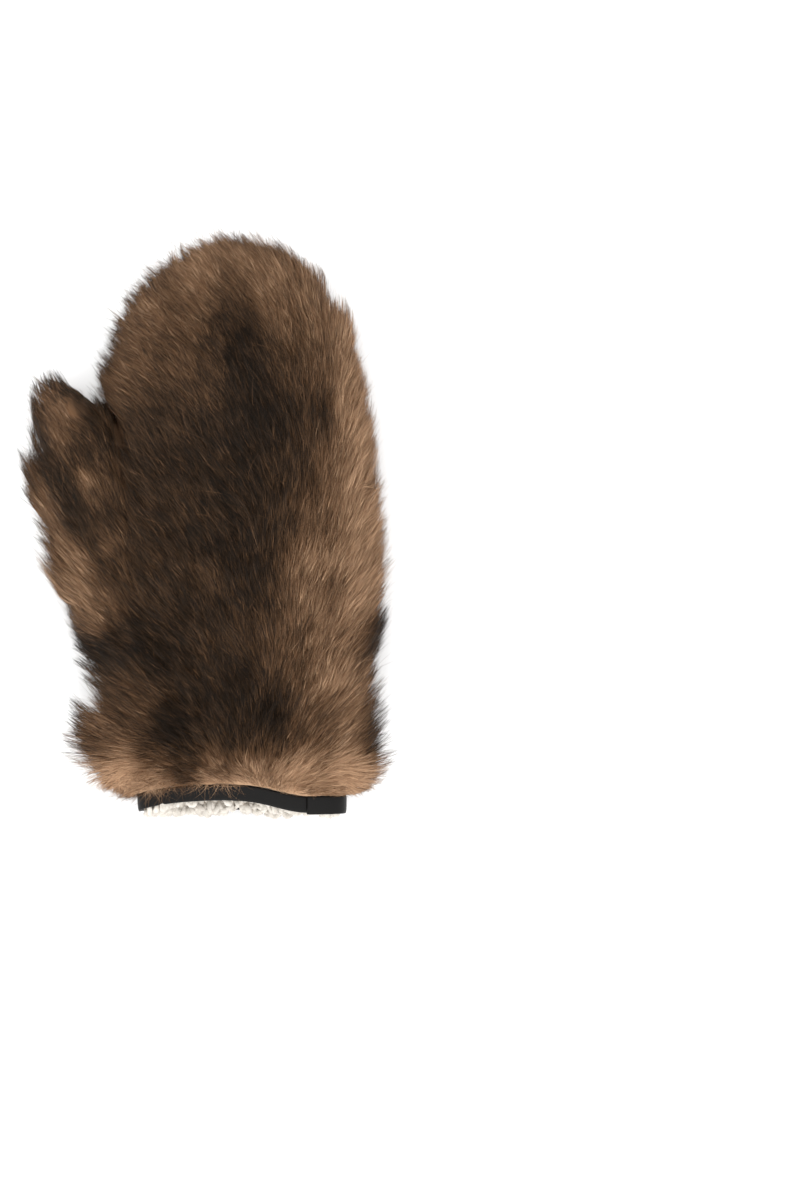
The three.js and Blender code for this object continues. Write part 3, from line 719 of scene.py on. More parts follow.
def ribbons(name, paths, levels, normal, width, tone, material, rng):
    """A mesh of one thin tapering ribbon a strand, its UV map holding the strand's tone and the way up it."""
    count, sections = paths.shape[:2]
    direction = unit(paths[:, -1] - paths[:, 0])
    across = unit(np.cross(direction, normal))
    upright = unit(np.cross(across, direction))
    turned = rng.uniform(-ROLL, ROLL, count)[:, None]
    across = across * np.cos(turned) + upright * np.sin(turned)
    taper = np.interp(levels[:-1], TAPER_LEVELS, TAPER)[None, :, None]
    half = across[:, None] * width[:, None, None] * taper / 2
    body = paths[:, :-1]
    points = np.concatenate([np.stack([body - half, body + half], 2).reshape(count, -1, 3), paths[:, -1:]], 1)
    per = 2 * (sections - 1) + 1
    base = np.arange(count)[:, None] * per
    quads = np.concatenate([[[2 * k, 2 * k + 1, 2 * k + 3, 2 * k + 2] for k in range(sections - 2)]])
    tip = np.array([per - 3, per - 2, per - 1])
    corners = np.concatenate([base + quads.ravel()[None, :], base + tip[None, :]], 1)
    sizes = np.tile(np.array([4] * (sections - 2) + [3]), count)
    edges = np.array([-1.0, 1.0])
    u_body = tone[:, None, None] + MAP_WIDTH * edges[None, None, :] + np.zeros((1, sections - 1, 1))
    v_body = np.broadcast_to(levels[None, :-1, None], (count, sections - 1, 2))
    u = np.concatenate([u_body.reshape(count, -1), tone[:, None]], 1).ravel()
    v = np.concatenate([v_body.reshape(count, -1), np.ones((count, 1))], 1).ravel()
    mesh = bpy.data.meshes.new(name)
    fill_mesh(mesh, points.reshape(-1, 3), corners.ravel(), sizes)
    loop_uv = mesh.uv_layers.new(name=MAP_NAME)
    pairs = np.stack([u[corners.ravel()], v[corners.ravel()] * (1 - 2 * MAP_MARGIN) + MAP_MARGIN], -1)
    loop_uv.data.foreach_set("uv", pairs.astype(np.float32).ravel())
    mesh.materials.append(material)
    return show(name, mesh)


def fill_mesh(mesh, points, corners, sizes):
    """Points in millimetres, and faces as runs of corner numbers with the size of each run."""
    mesh.vertices.add(len(points))
    mesh.vertices.foreach_set("co", (np.asarray(points) * MM).astype(np.float32).ravel())
    mesh.loops.add(len(corners))
    mesh.loops.foreach_set("vertex_index", corners.astype(np.int32))
    mesh.polygons.add(len(sizes))
    mesh.polygons.foreach_set("loop_start", (np.cumsum(sizes) - sizes).astype(np.int32))
    mesh.polygons.foreach_set("use_smooth", np.ones(len(sizes), bool))
    mesh.update(calc_edges=True)
    mesh.validate()


def ring_faces(rings, around, closed=False):
    """Corner numbers of the quads between rings of points; where closed, the last ring joins the first."""
    i = np.arange(rings if closed else rings - 1)[:, None]
    k = np.arange(around)[None, :]
    after_i, after_k = (i + 1) % rings, (k + 1) % around
    low, high = i * around, after_i * around
    return np.stack([low + k, low + after_k, high + after_k, high + k], -1).reshape(-1, 4)


def faced_mesh(name, points, faces, material):
    """A mesh from points and from arrays of faces, each array with as many corners to a face."""
    corners = np.concatenate([part.ravel() for part in faces])
    sizes = np.concatenate([np.full(len(part), part.shape[1]) for part in faces])
    mesh = bpy.data.meshes.new(name)
    fill_mesh(mesh, points.reshape(-1, 3), corners, sizes)
    mesh.materials.append(material)
    return mesh


def show(name, mesh):
    piece = bpy.data.objects.new(name, mesh)
    bpy.context.scene.collection.objects.link(piece)
    return piece


def attach(piece, slot, *nodes):
    """Makes a piece ride with the mitten and hides the solids that it stands for; its slot is not used."""
    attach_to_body(piece, "root")
    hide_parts(*nodes)


def wave_noise(points, scale, seed, octaves=3):
    """A smooth repeatable noise from -1 to 1, as sums of sines in turned directions."""
    rng = np.random.default_rng(seed)
    total = np.zeros(points.shape[:-1])
    size = 0.0
    for octave in range(octaves):
        for _ in range(WAVES):
            heading = unit(rng.normal(size=3)) * 2 * math.pi / scale * WAVE_FINER**octave
            total += np.sin(points @ heading + rng.uniform(*PHASES)) * WAVE_FAINTER**octave
        size += WAVES**0.5 * WAVE_FAINTER**octave
    return total / size


def shell(name, outer, inner, material):
    """A shell from two grids of rings, joined round the open end and closed over the tip."""
    rings = np.concatenate([inner[::-1], outer], 0)
    mesh = faced_mesh(name, rings, [ring_faces(*rings.shape[:2])], material)
    weld(mesh)
    return mesh


def weld(mesh):
    """Joins points that meet, fills the hole at the tip and turns all faces outwards."""
    work = bmesh.new()
    work.from_mesh(mesh)
    bmesh.ops.remove_doubles(work, verts=work.verts, dist=WELD_REACH * MM)
    bmesh.ops.holes_fill(work, edges=work.edges, sides=0)
    bmesh.ops.recalc_face_normals(work, faces=work.faces)
    for face in work.faces:
        face.smooth = True
    work.to_mesh(mesh)
    work.free()


def paint_tone(mesh):
    """The undercoat's UV map: the coat's tone, and a place low on the strand."""
    co = np.empty(len(mesh.vertices) * 3, np.float32)
    mesh.vertices.foreach_get("co", co)
    points = co.reshape(-1, 3) / MM
    value = in_range(tone_at(points))
    low = UNDERCOAT_LEVEL + UNDERCOAT_MOTTLE * wave_noise(points, scale=5.0, seed=3)
    corners = np.empty(len(mesh.loops), np.int32)
    mesh.loops.foreach_get("vertex_index", corners)
    layer = mesh.uv_layers.new(name=MAP_NAME)
    layer.data.foreach_set("uv", np.stack([value[corners], low[corners]], -1).astype(np.float32).ravel())


# Materials


def new_group(name, inputs, outputs):
    """A node group with its inputs, each with a default value, and its outputs."""
    group = bpy.data.node_groups.new(name, "ShaderNodeTree")
    for label, kind, default in inputs:
        socket = group.interface.new_socket(label, in_out="INPUT", socket_type=kind)
        socket.default_value = default
    for label, kind in outputs:
        group.interface.new_socket(label, in_out="OUTPUT", socket_type=kind)
    return group, group.nodes.new("NodeGroupInput"), group.nodes.new("NodeGroupOutput")


def wire(tree, node, inputs):
    """Puts a value, or the output of another node, on each input that is named."""
    for name, value in inputs.items():
        if isinstance(value, bpy.types.NodeSocket):
            tree.links.new(value, node.inputs[name])
        else:
            node.inputs[name].default_value = value


def add(tree, kind, inputs=None, **settings):
    """A new node with its settings and its inputs, and its outputs by name."""
    node = tree.nodes.new(kind)
    for name, value in settings.items():
        setattr(node, name, value)
    wire(tree, node, inputs or {})
    return node.outputs


def coat_colour_group():
    """From a strand's tone and the way up it to the colour of the hair."""
    if "Coat colour" in bpy.data.node_groups:
        return bpy.data.node_groups["Coat colour"]
    look = bpy.context.scene.mitten_coat
    group, given, out = new_group(
        "Coat colour",
        (
            ("Tone", "NodeSocketFloat", 0.5),
            ("Reach", "NodeSocketFloat", 0.5),
            ("Tan", "NodeSocketColor", (*look.tan, 1)),
            ("Brown", "NodeSocketColor", (*look.brown, 1)),
            ("Dark", "NodeSocketColor", (*look.dark, 1)),
            ("Black", "NodeSocketColor", (*look.black, 1)),
        ),
        (("Colour", "NodeSocketColor"), ("Darkness", "NodeSocketFloat")),
    )
    given = given.outputs
    shift = add(group, "ShaderNodeMapRange", {
        "Value": given["Reach"], "From Min": 0.25, "From Max": 1.0, "To Min": -0.12, "To Max": 0.13,
    }, interpolation_type="SMOOTHSTEP")
    darkness = add(
        group, "ShaderNodeMath", {0: given["Tone"], 1: shift["Result"]}, operation="ADD", use_clamp=True
    )
    colour = given["Tan"]
    for name, low, high in (("Brown", 0.0, 0.42), ("Dark", 0.42, 0.78), ("Black", 0.78, 1.0)):
        amount = add(group, "ShaderNodeMapRange", {"Value": darkness[0], "From Min": low, "From Max": high})
        mix = {"Factor": amount["Result"], "A": colour, "B": given[name]}
        colour = add(group, "ShaderNodeMix", mix, data_type="RGBA")["Result"]
    wire(group, out, {"Colour": colour, "Darkness": darkness[0]})
    return group


def fleece_group():
    """Random clouds between a darker tint of painted shade, for deep in the wool, and a lighter tint high on
    its curls, and the fluff of its fibres.
    """
    if "Fleece" in bpy.data.node_groups:
        return bpy.data.node_groups["Fleece"]
    look = bpy.context.scene.mitten_wool
    group, given, out = new_group(
        "Fleece",
        (("Shaded", "NodeSocketColor", (*look.shade, 1)), ("High", "NodeSocketColor", (*look.colour, 1))),
        (("Colour", "NodeSocketColor"), ("Normal", "NodeSocketVector")),
    )
    place = add(group, "ShaderNodeTexCoord")["Object"]
    clouds = add(group, "ShaderNodeTexNoise", {"Vector": place, "Scale": 220, "Detail": 4})
    spread = add(group, "ShaderNodeMapRange", {"Value": clouds["Fac"], "From Min": 0.3, "From Max": 0.6})
    mix = {"Factor": spread["Result"], "A": given.outputs["Shaded"], "B": given.outputs["High"]}
    tint = add(group, "ShaderNodeMix", mix, data_type="RGBA")
    fluff = add(group, "ShaderNodeTexNoise", {"Vector": place, "Scale": 1500, "Detail": 3})
    bump = add(group, "ShaderNodeBump", {"Height": fluff["Fac"], "Strength": 0.7, "Distance": 0.4 * MM})
    wire(group, out, {"Colour": tint["Result"], "Normal": bump["Normal"]})
    return group


def new_material(name):
    material = bpy.data.materials.new(name)
    material.use_nodes = True
    tree = material.node_tree
    return material, tree, tree.nodes["Principled BSDF"]


def fur_material(name, roughness, bumpy):
    """Hair in the coat's colours, duller where it is light, and with a fine bump on the undercoat."""
    if name in bpy.data.materials:
        return bpy.data.materials[name]
    material, tree, shader = new_material(name)
    uv = add(tree, "ShaderNodeUVMap", uv_map=MAP_NAME)
    split = add(tree, "ShaderNodeSeparateXYZ", {"Vector": uv["UV"]})
    strand = {"Tone": split["X"], "Reach": split["Y"]}
    hair = add(tree, "ShaderNodeGroup", strand, node_tree=coat_colour_group())
    shine = {"Value": hair["Darkness"], "To Min": roughness + 0.12, "To Max": roughness}
    wire(tree, shader, {
        "Base Color": hair["Colour"],
        "Roughness": add(tree, "ShaderNodeMapRange", shine)["Result"],
        "Specular IOR Level": 0.12,
    })
    if bumpy:
        noise = add(tree, "ShaderNodeTexNoise", {"Scale": 900, "Detail": 4})
        bump = add(tree, "ShaderNodeBump", {"Height": noise["Fac"], "Strength": 0.8, "Distance": 0.6 * MM})
        wire(tree, shader, {"Normal": bump["Normal"]})
    return material


def guard_hair():
    """The one material of all single hairs."""
    return fur_material("Guard hair", 0.42, bumpy=False)


def leather_material():
    """Black leather with a fine grain and soft creases, duller in the creases."""
    look = bpy.context.scene.mitten_band
    material, tree, shader = new_material("Black leather")
    place = add(tree, "ShaderNodeTexCoord")["Object"]
    grain = add(tree, "ShaderNodeTexVoronoi", {"Vector": place, "Scale": 1400})
    creases = add(tree, "ShaderNodeTexNoise", {"Vector": place, "Scale": 160, "Detail": 5})["Fac"]
    height = add(tree, "ShaderNodeMix", {"Factor": 0.45, "A": grain["Distance"], "B": creases})
    bump = add(tree, "ShaderNodeBump", {"Height": height["Result"], "Strength": 0.35, "Distance": 0.25 * MM})
    worn = [c * WORN_LEATHER for c in look.colour]
    tints = {"Factor": creases, "A": (*look.colour, 1), "B": (*worn, 1)}
    dull = {"Value": creases, "To Min": 0.38, "To Max": 0.58}
    wire(tree, shader, {
        "Base Color": add(tree, "ShaderNodeMix", tints, data_type="RGBA")["Result"],
        "Roughness": add(tree, "ShaderNodeMapRange", dull)["Result"],
        "Specular IOR Level": 0.14,
        "Normal": bump["Normal"],
    })
    return material


def wool_material(name, depth):
    """Cream wool with painted shade, the darker the deeper it lies between the curls, from 0, on them, to 1.
    """
    look = bpy.context.scene.mitten_wool
    shares = {"Shaded": depth, "High": depth - FLEECE_CLOUDS}
    tints = {
        label: (*(Color(look.colour) * (1 - share) + Color(look.shade) * share), 1)
        for label, share in shares.items()
    }
    material, tree, shader = new_material(name)
    fleece = add(tree, "ShaderNodeGroup", tints, node_tree=fleece_group())
    wire(tree, shader, {
        "Base Color": fleece["Colour"], "Normal": fleece["Normal"], "Roughness": 0.9, "Sheen Weight": 0.3,
    })
    return material


# Settings


def length_setting(name, description, default):
    return bpy.props.FloatProperty(name=name, description=description, default=default, unit="LENGTH")


def share_setting(name, description, default):
    return bpy.props.FloatProperty(name=name, description=description, default=default, subtype="FACTOR")


def count_setting(name, description, default):
    return bpy.props.IntProperty(name=name, description=description, default=default, min=1)


def colour_setting(name, description, default):
    return bpy.props.FloatVectorProperty(
        name=name, description=description, default=default, subtype="COLOR", size=3
    )


class MITTEN_PG_coat(bpy.types.PropertyGroup):
    strand_length: length_setting("Strand length", "Length of a guard hair past the undercoat", 12.5 * MM)
    strand_width: length_setting("Strand width", "Width of a guard hair", 0.22 * MM)
    back_strands: count_setting("Back strands", "Strands in each of the three parts of the back", 52000)
    palm_strands: count_setting("Palm strands", "Strands on the palm", 22000)
    thumb_strands: count_setting("Thumb strands", "Strands on the thumb", 38000)
    hand_tuft_strands: count_setting("Hand tuft strands", "Long strands in the hand's side tufts", 9500)
    thumb_tuft_strands: count_setting("Thumb tuft strands", "Long strands in the thumb's tufts", 5500)
    hem_hairs: count_setting("Hem hairs", "Fine hairs over the band", 800)
    stray_hairs: count_setting("Stray hairs", "Single hairs over the coat", 1200)
    tuck: share_setting("Tuck", "How much lower short hair ends where the nap points off the form", 0.4)
    tuft_tuck: share_setting("Tuft tuck", "The same for the long tufts", 0.12)
    dark_hairs: share_setting("Dark hairs", "Share of hairs that are darker than the coat round them", 0.2)
    lock_strength: share_setting("Lock strength", "How far strands gather into locks", 0.5)
    lock_hairs: count_setting("Hairs in a lock", "Strands in one small lock", 9)
    tuft_hairs: count_setting("Hairs in a tuft", "Long strands in one tuft", 13)
    tone_spread: share_setting("Tone spread", "How far single hairs differ in tone", 0.13)
    undercoat: share_setting("Undercoat", "Height of the dense undercoat as a share of the pile", 0.5)
    tan: colour_setting("Tan", "Lightest hair", (0.60, 0.385, 0.235))
    brown: colour_setting("Brown", "Middle of the coat", (0.195, 0.103, 0.052))
    dark: colour_setting("Dark", "Dark markings", (0.046, 0.0265, 0.0145))
    black: colour_setting("Black", "Darkest tips", (0.009, 0.0058, 0.0036))


class MITTEN_PG_band(bpy.types.PropertyGroup):
    thickness: length_setting("Leather thickness", "Thickness of the folded band", 1.8 * MM)
    colour: colour_setting("Leather colour", "Colour of the band", (0.0028, 0.0025, 0.0023))


class MITTEN_PG_wool(bpy.types.PropertyGroup):
    curls: count_setting("Curls", "Wool curls round the mouth", 620)
    curl_radius: length_setting("Curl radius", "Radius of a wool curl", 2.3 * MM)
    colour: colour_setting("Wool colour", "Colour of the curls", (0.64, 0.60, 0.54))
    # The wool shade is painted shade: the colour of the shadow deep between the curls.
    shade: colour_setting("Wool shade", "Colour deep between the curls", (0.22, 0.17, 0.13))


class MITTEN_PG_stage(bpy.types.PropertyGroup):
    lens: bpy.props.FloatProperty(
        name="Lens", description="Focal length in millimetres", default=100, subtype="DISTANCE_CAMERA",
    )
    floor: colour_setting("Floor", "Colour of the floor", (0.95, 0.95, 0.95))
    light: bpy.props.FloatProperty(
        name="Light", description="Power of the overhead softbox in watts", default=8, unit="POWER",
    )


# Pieces


def vary(rng, count, spreads):
    """The habits of locks or hairs: where they end, their lean, their bend, their length and their tone."""
    return np.array([rng.normal(0, spread, count) for spread in spreads])


def coat(form, levels, count, rng, weigh, length, kind="short", top=0.9, splay=0.6, hug=0.6):
    """Strands over a form, in small locks that are themselves in large ones: paths, normals and tones."""
    look = bpy.context.scene.mitten_coat
    tuck, hairs, gather = {
        "short": (look.tuck, look.lock_hairs, (1, 1)),
        "tufts": (look.tuft_tuck, look.tuft_hairs, TUFT_GATHER),
    }[kind]

    def paths_of(places, normals, habit):
        rise, lean, bend, longer, _ = habit
        n = len(places)
        low = look.undercoat - ROOT_DEPTH + rng.uniform(-ROOT_SPREAD, ROOT_SPREAD, n)
        low = low + UNDERCOAT_LOFT * loft_at(form, places, "short")
        outwards = np.maximum(0, np.sum(nap_at(places) * normals, -1))
        high = np.maximum(top + rise + loft_at(form, places, kind) - tuck * outwards, low + LEAST_RISE)
        lengths = length(places) * np.clip(1 + longer, *LENGTH_RANGE)
        follow = np.clip(rng.normal(hug, HUG_SPREAD, n), *HUG_RANGE)
        return strand_paths(form, levels, places, normals, lengths, (low, high), lean, bend, follow, splay)

    def layer(some, spreads, above=None, strength=1, pull_range=LOCK_PULL, dark=0):
        """Strands that are drawn towards the nearest one above: places, normals, habits and paths."""
        places, normals = scatter_roots(form, some, rng, weigh)
        if above is None:
            habit = vary(rng, some, spreads)
            return places, normals, habit, paths_of(places, normals, habit)
        owner = nearest_of(places, above[0])
        habit = above[2][:, owner] + vary(rng, some, spreads)
        if dark:
            habit[-1] = habit[-1] + np.where(rng.random(some) < dark, DARKER, 0)
        pull = np.minimum(1, strength * look.lock_strength * rng.uniform(*pull_range, some))
        return places, normals, habit, pulled(paths_of(places, normals, habit), above[3][owner], levels, pull)

    locks = count / hairs
    large = layer(int(locks / SMALL_IN_LARGE), LARGE_LOCK)
    small = layer(int(locks), SMALL_LOCK, large, gather[0])
    single = (*SINGLE_HAIR, look.tone_spread)
    places, normals, habit, paths = layer(count, single, small, gather[1], HAIR_PULL, look.dark_hairs)
    tone = tone_at(paths[:, 1]) + habit[-1] + COAT_MOTTLE * wave_noise(places, scale=22.0, seed=11)
    return settle(paths), normals, in_range(tone)


def hidden(other, grid, share=None):
    """Where the grid lies inside the other form, so that no hair is rooted there."""
    return other.ratio(grid, other.hides if share is None else share)[0] < 1


def near_hem(places):
    """1 at the hem, falling to 0 up the hand, because the hair is shorter at the hem."""
    return 1 - smoothstep(places[:, 1], MOUTH_Y + BAND_HEIGHT, HEM_HAIR_Y)


def widths_of(rng, count, least, most, wide=1.0):
    """Widths of strands between two shares of the width in the settings."""
    return wide * bpy.context.scene.mitten_coat.strand_width / MM * rng.uniform(least, most, count)


def hair_piece(name, nodes, strands, widths, levels, rng):
    """A fur piece from its strands, which are their paths, normals and tones."""
    paths, normals, tones = strands
    piece = ribbons(name, paths, levels, normals, widths, tones, guard_hair(), rng)
    attach(piece, "fur", *nodes)


class MITTEN_OT_undercoat(bpy.types.Operator):
    """Dense undercoat over the leather of the hand and thumb"""

    bl_idname = "mitten.undercoat"
    bl_label = "Undercoat"

    def execute(self, context):
        share = context.scene.mitten_coat.undercoat
        material = fur_material("Undercoat fur", 0.7, bumpy=True)
        for name, form, nodes in (
            ("hand_undercoat", HAND, ("back_pelt", "palm_pelt")),
            ("thumb_undercoat", THUMB, ("thumb_pelt",)),
        ):
            outer = form_grid(form, share)
            loft = UNDERCOAT_LOFT * loft_at(form, outer, "short")
            outer = on_share(form, outer, np.maximum(UNDERCOAT_LEAST, share + loft))
            bumps = UNDERCOAT_BUMP * wave_noise(outer, scale=7.0, seed=5)
            outer = outer + grid_normals(outer) * bumps[..., None]
            outer[..., 2] = np.maximum(outer[..., 2], FLOOR_CLEARANCE)
            inner = form_grid(form, 0.0, -SKIN + OVERLAP, steps=HIDDEN_STEPS)
            mesh = shell(name, outer, inner, material)
            paint_tone(mesh)
            attach(show(name, mesh), "fur", *nodes)
        return {"FINISHED"}


class MITTEN_OT_back_fur(bpy.types.Operator):
    """Guard hair over the back of the hand, in three parts from fingertips to wrist"""

    bl_idname = "mitten.back_fur"
    bl_label = "Back fur"

    def execute(self, context):
        look = context.scene.mitten_coat
        rng = np.random.default_rng(SEEDS["back fur"])

        def weigh(grid, normals):
            return np.where((grid[..., 2] > HAND_SIDE) & ~hidden(THUMB, grid), 1.0, 0.0)

        def lengths(places):
            return look.strand_length / MM * (1 - HEM_SHORTER * near_hem(places))

        paths, normals, tones = coat(HAND, SHORT_LEVELS, 3 * look.back_strands, rng, weigh, lengths)
        order = np.argsort(paths[:, 0, 1])
        for part, name in enumerate(("back_fur_wrist", "back_fur_knuckles", "back_fur_fingers")):
            pick = order[part * look.back_strands : (part + 1) * look.back_strands]
            widths = widths_of(rng, len(pick), 0.6, 1.2)
            strands = (paths[pick], normals[pick], tones[pick])
            hair_piece(name, ("back_pelt",), strands, widths, SHORT_LEVELS, rng)
        return {"FINISHED"}


class MITTEN_OT_palm_fur(bpy.types.Operator):
    """Guard hair over the palm, pressed flat where the mitten rests"""

    bl_idname = "mitten.palm_fur"
    bl_label = "Palm fur"

    def execute(self, context):
        look = context.scene.mitten_coat
        rng = np.random.default_rng(SEEDS["palm fur"])

        def weigh(grid, normals):
            return np.where((grid[..., 2] <= HAND_SIDE) & ~hidden(THUMB, grid), 1.0, 0.0)

        def lengths(places):
            return np.full(len(places), look.strand_length / MM)

        strands = coat(HAND, SHORT_LEVELS, look.palm_strands, rng, weigh, lengths)
        widths = widths_of(rng, look.palm_strands, 0.6, 1.2, PALM_WIDER)
        hair_piece("palm_fur", ("palm_pelt",), strands, widths, SHORT_LEVELS, rng)
        return {"FINISHED"}


class MITTEN_OT_thumb_fur(bpy.types.Operator):
    """Guard hair over the thumb"""

    bl_idname = "mitten.thumb_fur"
    bl_label = "Thumb fur"

    def execute(self, context):
        look = context.scene.mitten_coat
        rng = np.random.default_rng(SEEDS["thumb fur"])

        def weigh(grid, normals):
            dense = np.where(grid[..., 2] > THUMB_SIDE, 1.0, THUMB_PALM_SHARE)
            return np.where(hidden(HAND, grid), 0.0, dense)

        def lengths(places):
            return np.full(len(places), THUMB_SHORTER * look.strand_length / MM)

        strands = coat(THUMB, SHORT_LEVELS, look.thumb_strands, rng, weigh, lengths)
        widths = widths_of(rng, look.thumb_strands, 0.7, 1.3)
        hair_piece("thumb_fur", ("thumb_pelt",), strands, widths, SHORT_LEVELS, rng)
        return {"FINISHED"}


class MITTEN_OT_tufts(bpy.types.Operator):
    """Long pointed tufts that stand off the sides of the hand and thumb"""

    bl_idname = "mitten.tufts"
    bl_label = "Side tufts"

    def execute(self, context):
        look = context.scene.mitten_coat
        rng = np.random.default_rng(SEEDS["tufts"])
        for name, form, other, count, longest, top, nodes in (
            ("hand_tufts", HAND, THUMB, look.hand_tuft_strands, 18, 1.0, ("back_pelt", "palm_pelt")),
            ("thumb_tufts", THUMB, HAND, look.thumb_tuft_strands, 22, 0.92, ("thumb_pelt",)),
        ):

            def weigh(grid, normals):
                side_on = smoothstep(-np.abs(normals[..., 2]), *TUFT_SLOPES)
                height = smoothstep(grid[..., 2], *TUFT_HEIGHTS)
                return np.where(hidden(other, grid, TUFTS_HIDE), 0.0, side_on * height)

            def lengths(places):
                shares = rng.uniform(*TUFT_LENGTHS, len(places))
                return longest * shares * (1 - TUFT_HEM_SHORTER * near_hem(places))

            paths, normals, tones = coat(
                form, LONG_LEVELS, count, rng, weigh, lengths, kind="tufts", top=top, splay=0.75, hug=0.62
            )
            widths = widths_of(rng, count, 0.6, 1.1)
            strands = (paths, normals, in_range(tones + TUFT_DARKER))
            hair_piece(name, nodes, strands, widths, LONG_LEVELS, rng)
        return {"FINISHED"}


def loose_paths(root, heading, length, sway):
    """Single hairs that leave a root along a heading and sway aside."""
    level = LONG_LEVELS[None, :, None]
    paths = root[:, None] + (heading[:, None] * level + sway[:, None] * level**2) * length[:, None, None]
    return settle(paths)


class MITTEN_OT_wisps(bpy.types.Operator):
    """Long thin wisps at the places of the outline that the table gives"""

    bl_idname = "mitten.wisps"
    bl_label = "Wisps"

    def execute(self, context):
        rng = np.random.default_rng(SEEDS["wisps"])
        table = columns(WISP_COLUMNS, WISP_ROWS)
        hairs = table["hairs"].astype(int)
        row = {name: values[np.repeat(np.arange(len(hairs)), hairs)] for name, values in table.items()}
        count = hairs.sum()
        lean = np.radians(row["lean"] + rng.normal(0, WISP_LEAN, count) / row["length"])
        heading = np.stack([-np.sin(lean), np.cos(lean), rng.normal(*WISP_CLIMB, count)], -1)
        across = np.stack([np.cos(lean), np.sin(lean), np.zeros(count)], -1)
        off = rng.normal(0, WISP_SPREAD, count) * row["spread"]
        back = rng.uniform(*WISP_BACK, count)
        root = np.stack([row["x"], row["y"], rng.uniform(*WISP_HEIGHTS, count)], -1)
        root = root + across * off[:, None] - heading * back[:, None]
        length = back + row["length"] * rng.uniform(*WISP_LENGTHS, count)
        gather = across * (-WISP_GATHER * off / length)[:, None] * rng.uniform(*WISP_TIGHT, count)[:, None]
        sway = gather + across * rng.normal(0, WISP_SWAY, count)[:, None]
        paths = loose_paths(root, unit(heading), length, sway)
        tone = WISP_TONE + WISP_COAT_SHARE * tone_at(root) + rng.normal(0, WISP_TONE_SPREAD, count)
        widths = widths_of(rng, count, 0.7, 1.15)
        on_thumb = THUMB.ratio(root, 1.0)[0] < HAND.ratio(root, 1.0)[0]
        for name, pick, node in (
            ("hand_wisps", ~on_thumb, "back_pelt"),
            ("thumb_wisps", on_thumb, "thumb_pelt"),
        ):
            strands = (paths[pick], np.tile(UP, (pick.sum(), 1)), in_range(tone[pick]))
            hair_piece(name, (node,), strands, widths[pick], LONG_LEVELS, rng)
        return {"FINISHED"}


class MITTEN_OT_loose_hair(bpy.types.Operator):
    """Single hairs that stray over the coat, and the hem's fine hair over the band"""

    bl_idname = "mitten.loose_hair"
    bl_label = "Loose hair"

    def execute(self, context):
        look = context.scene.mitten_coat
        rng = np.random.default_rng(SEEDS["loose hair"])
        self.hem(look.hem_hairs, rng)
        self.strays(look.stray_hairs, rng)
        return {"FINISHED"}

    def hem(self, count, rng):
        """Most hairs lie over the middle of the band, and the rest all round the back of the wrist."""
        middle = rng.random(count) < HEM_MIDDLE_SHARE
        turn = np.where(middle, rng.uniform(*HEM_MIDDLE, count), rng.uniform(*HEM_ROUND_BACK, count))
        turn = turn * math.pi
        y = MOUTH_Y + BAND_HEIGHT + GAP + rng.uniform(*HEM_ROOTS, count)
        root = HAND.point(y, np.zeros(count), turn, 0.0, rng.uniform(*HEM_ROOT_SHARES, count))
        lean = rng.normal(*HEM_LEAN, count)
        heading = np.stack([np.sin(lean), -np.cos(lean), rng.uniform(*HEM_CLIMB, count)], -1)
        aside, ahead = rng.normal(*HEM_ASIDE, count), rng.normal(*HEM_AHEAD, count)
        sway = np.stack([aside, ahead, -rng.uniform(*HEM_DROOP, count)], -1)
        length = rng.uniform(*HEM_LENGTHS, count) * np.where(middle, HEM_MIDDLE_LONGER, HEM_REST_SHORTER)
        length = length * np.where(rng.random(count) < HEM_LONG_SHARE, HEM_LONG, 1)
        paths = loose_paths(root, unit(heading), length, sway)
        tone = np.clip(tone_at(root) + rng.normal(*HEM_TONE, count), *HEM_TONES)
        strands = (paths, np.tile(UP, (count, 1)), tone)
        hair_piece("hem_hair", ("back_pelt",), strands, widths_of(rng, count, 0.22, 0.45), LONG_LEVELS, rng)

    def strays(self, count, rng):
        """Stray hairs over the hand and the thumb, but not across the notch between them."""
        for name, form, other, share, node in (
            ("hand_strays", HAND, THUMB, 0.75, "back_pelt"),
            ("thumb_strays", THUMB, HAND, 0.25, "thumb_pelt"),
        ):

            def weigh(grid, normals):
                return ((grid[..., 2] > THUMB_SIDE) & (other.ratio(grid, 1.0)[0] > STRAYS_CLEAR)) * 1.0

            some = int(count * share)
            outer, normal = scatter_roots(form, some, rng, weigh)
            lean = rng.normal(0, STRAY_LEAN, some)
            nap = nap_at(outer)
            side = np.cross(nap, UP) * lean[:, None]
            heading = unit(nap + side + normal * rng.uniform(*STRAY_LIFT, some)[:, None])
            sway = np.cross(heading, normal) * rng.normal(0, STRAY_SWAY, some)[:, None] - normal * STRAY_DROOP
            root = on_share(form, outer, np.full(some, STRAY_ROOT))
            paths = loose_paths(root, heading, rng.uniform(*STRAY_LENGTHS, some), sway)
            tone = STRAY_COAT_SHARE * tone_at(root) + STRAY_TONE + rng.normal(0, STRAY_TONE_SPREAD, some)
            widths = widths_of(rng, some, 0.3, 0.5)
            hair_piece(name, (node,), (paths, normal, in_range(tone)), widths, LONG_LEVELS, rng)


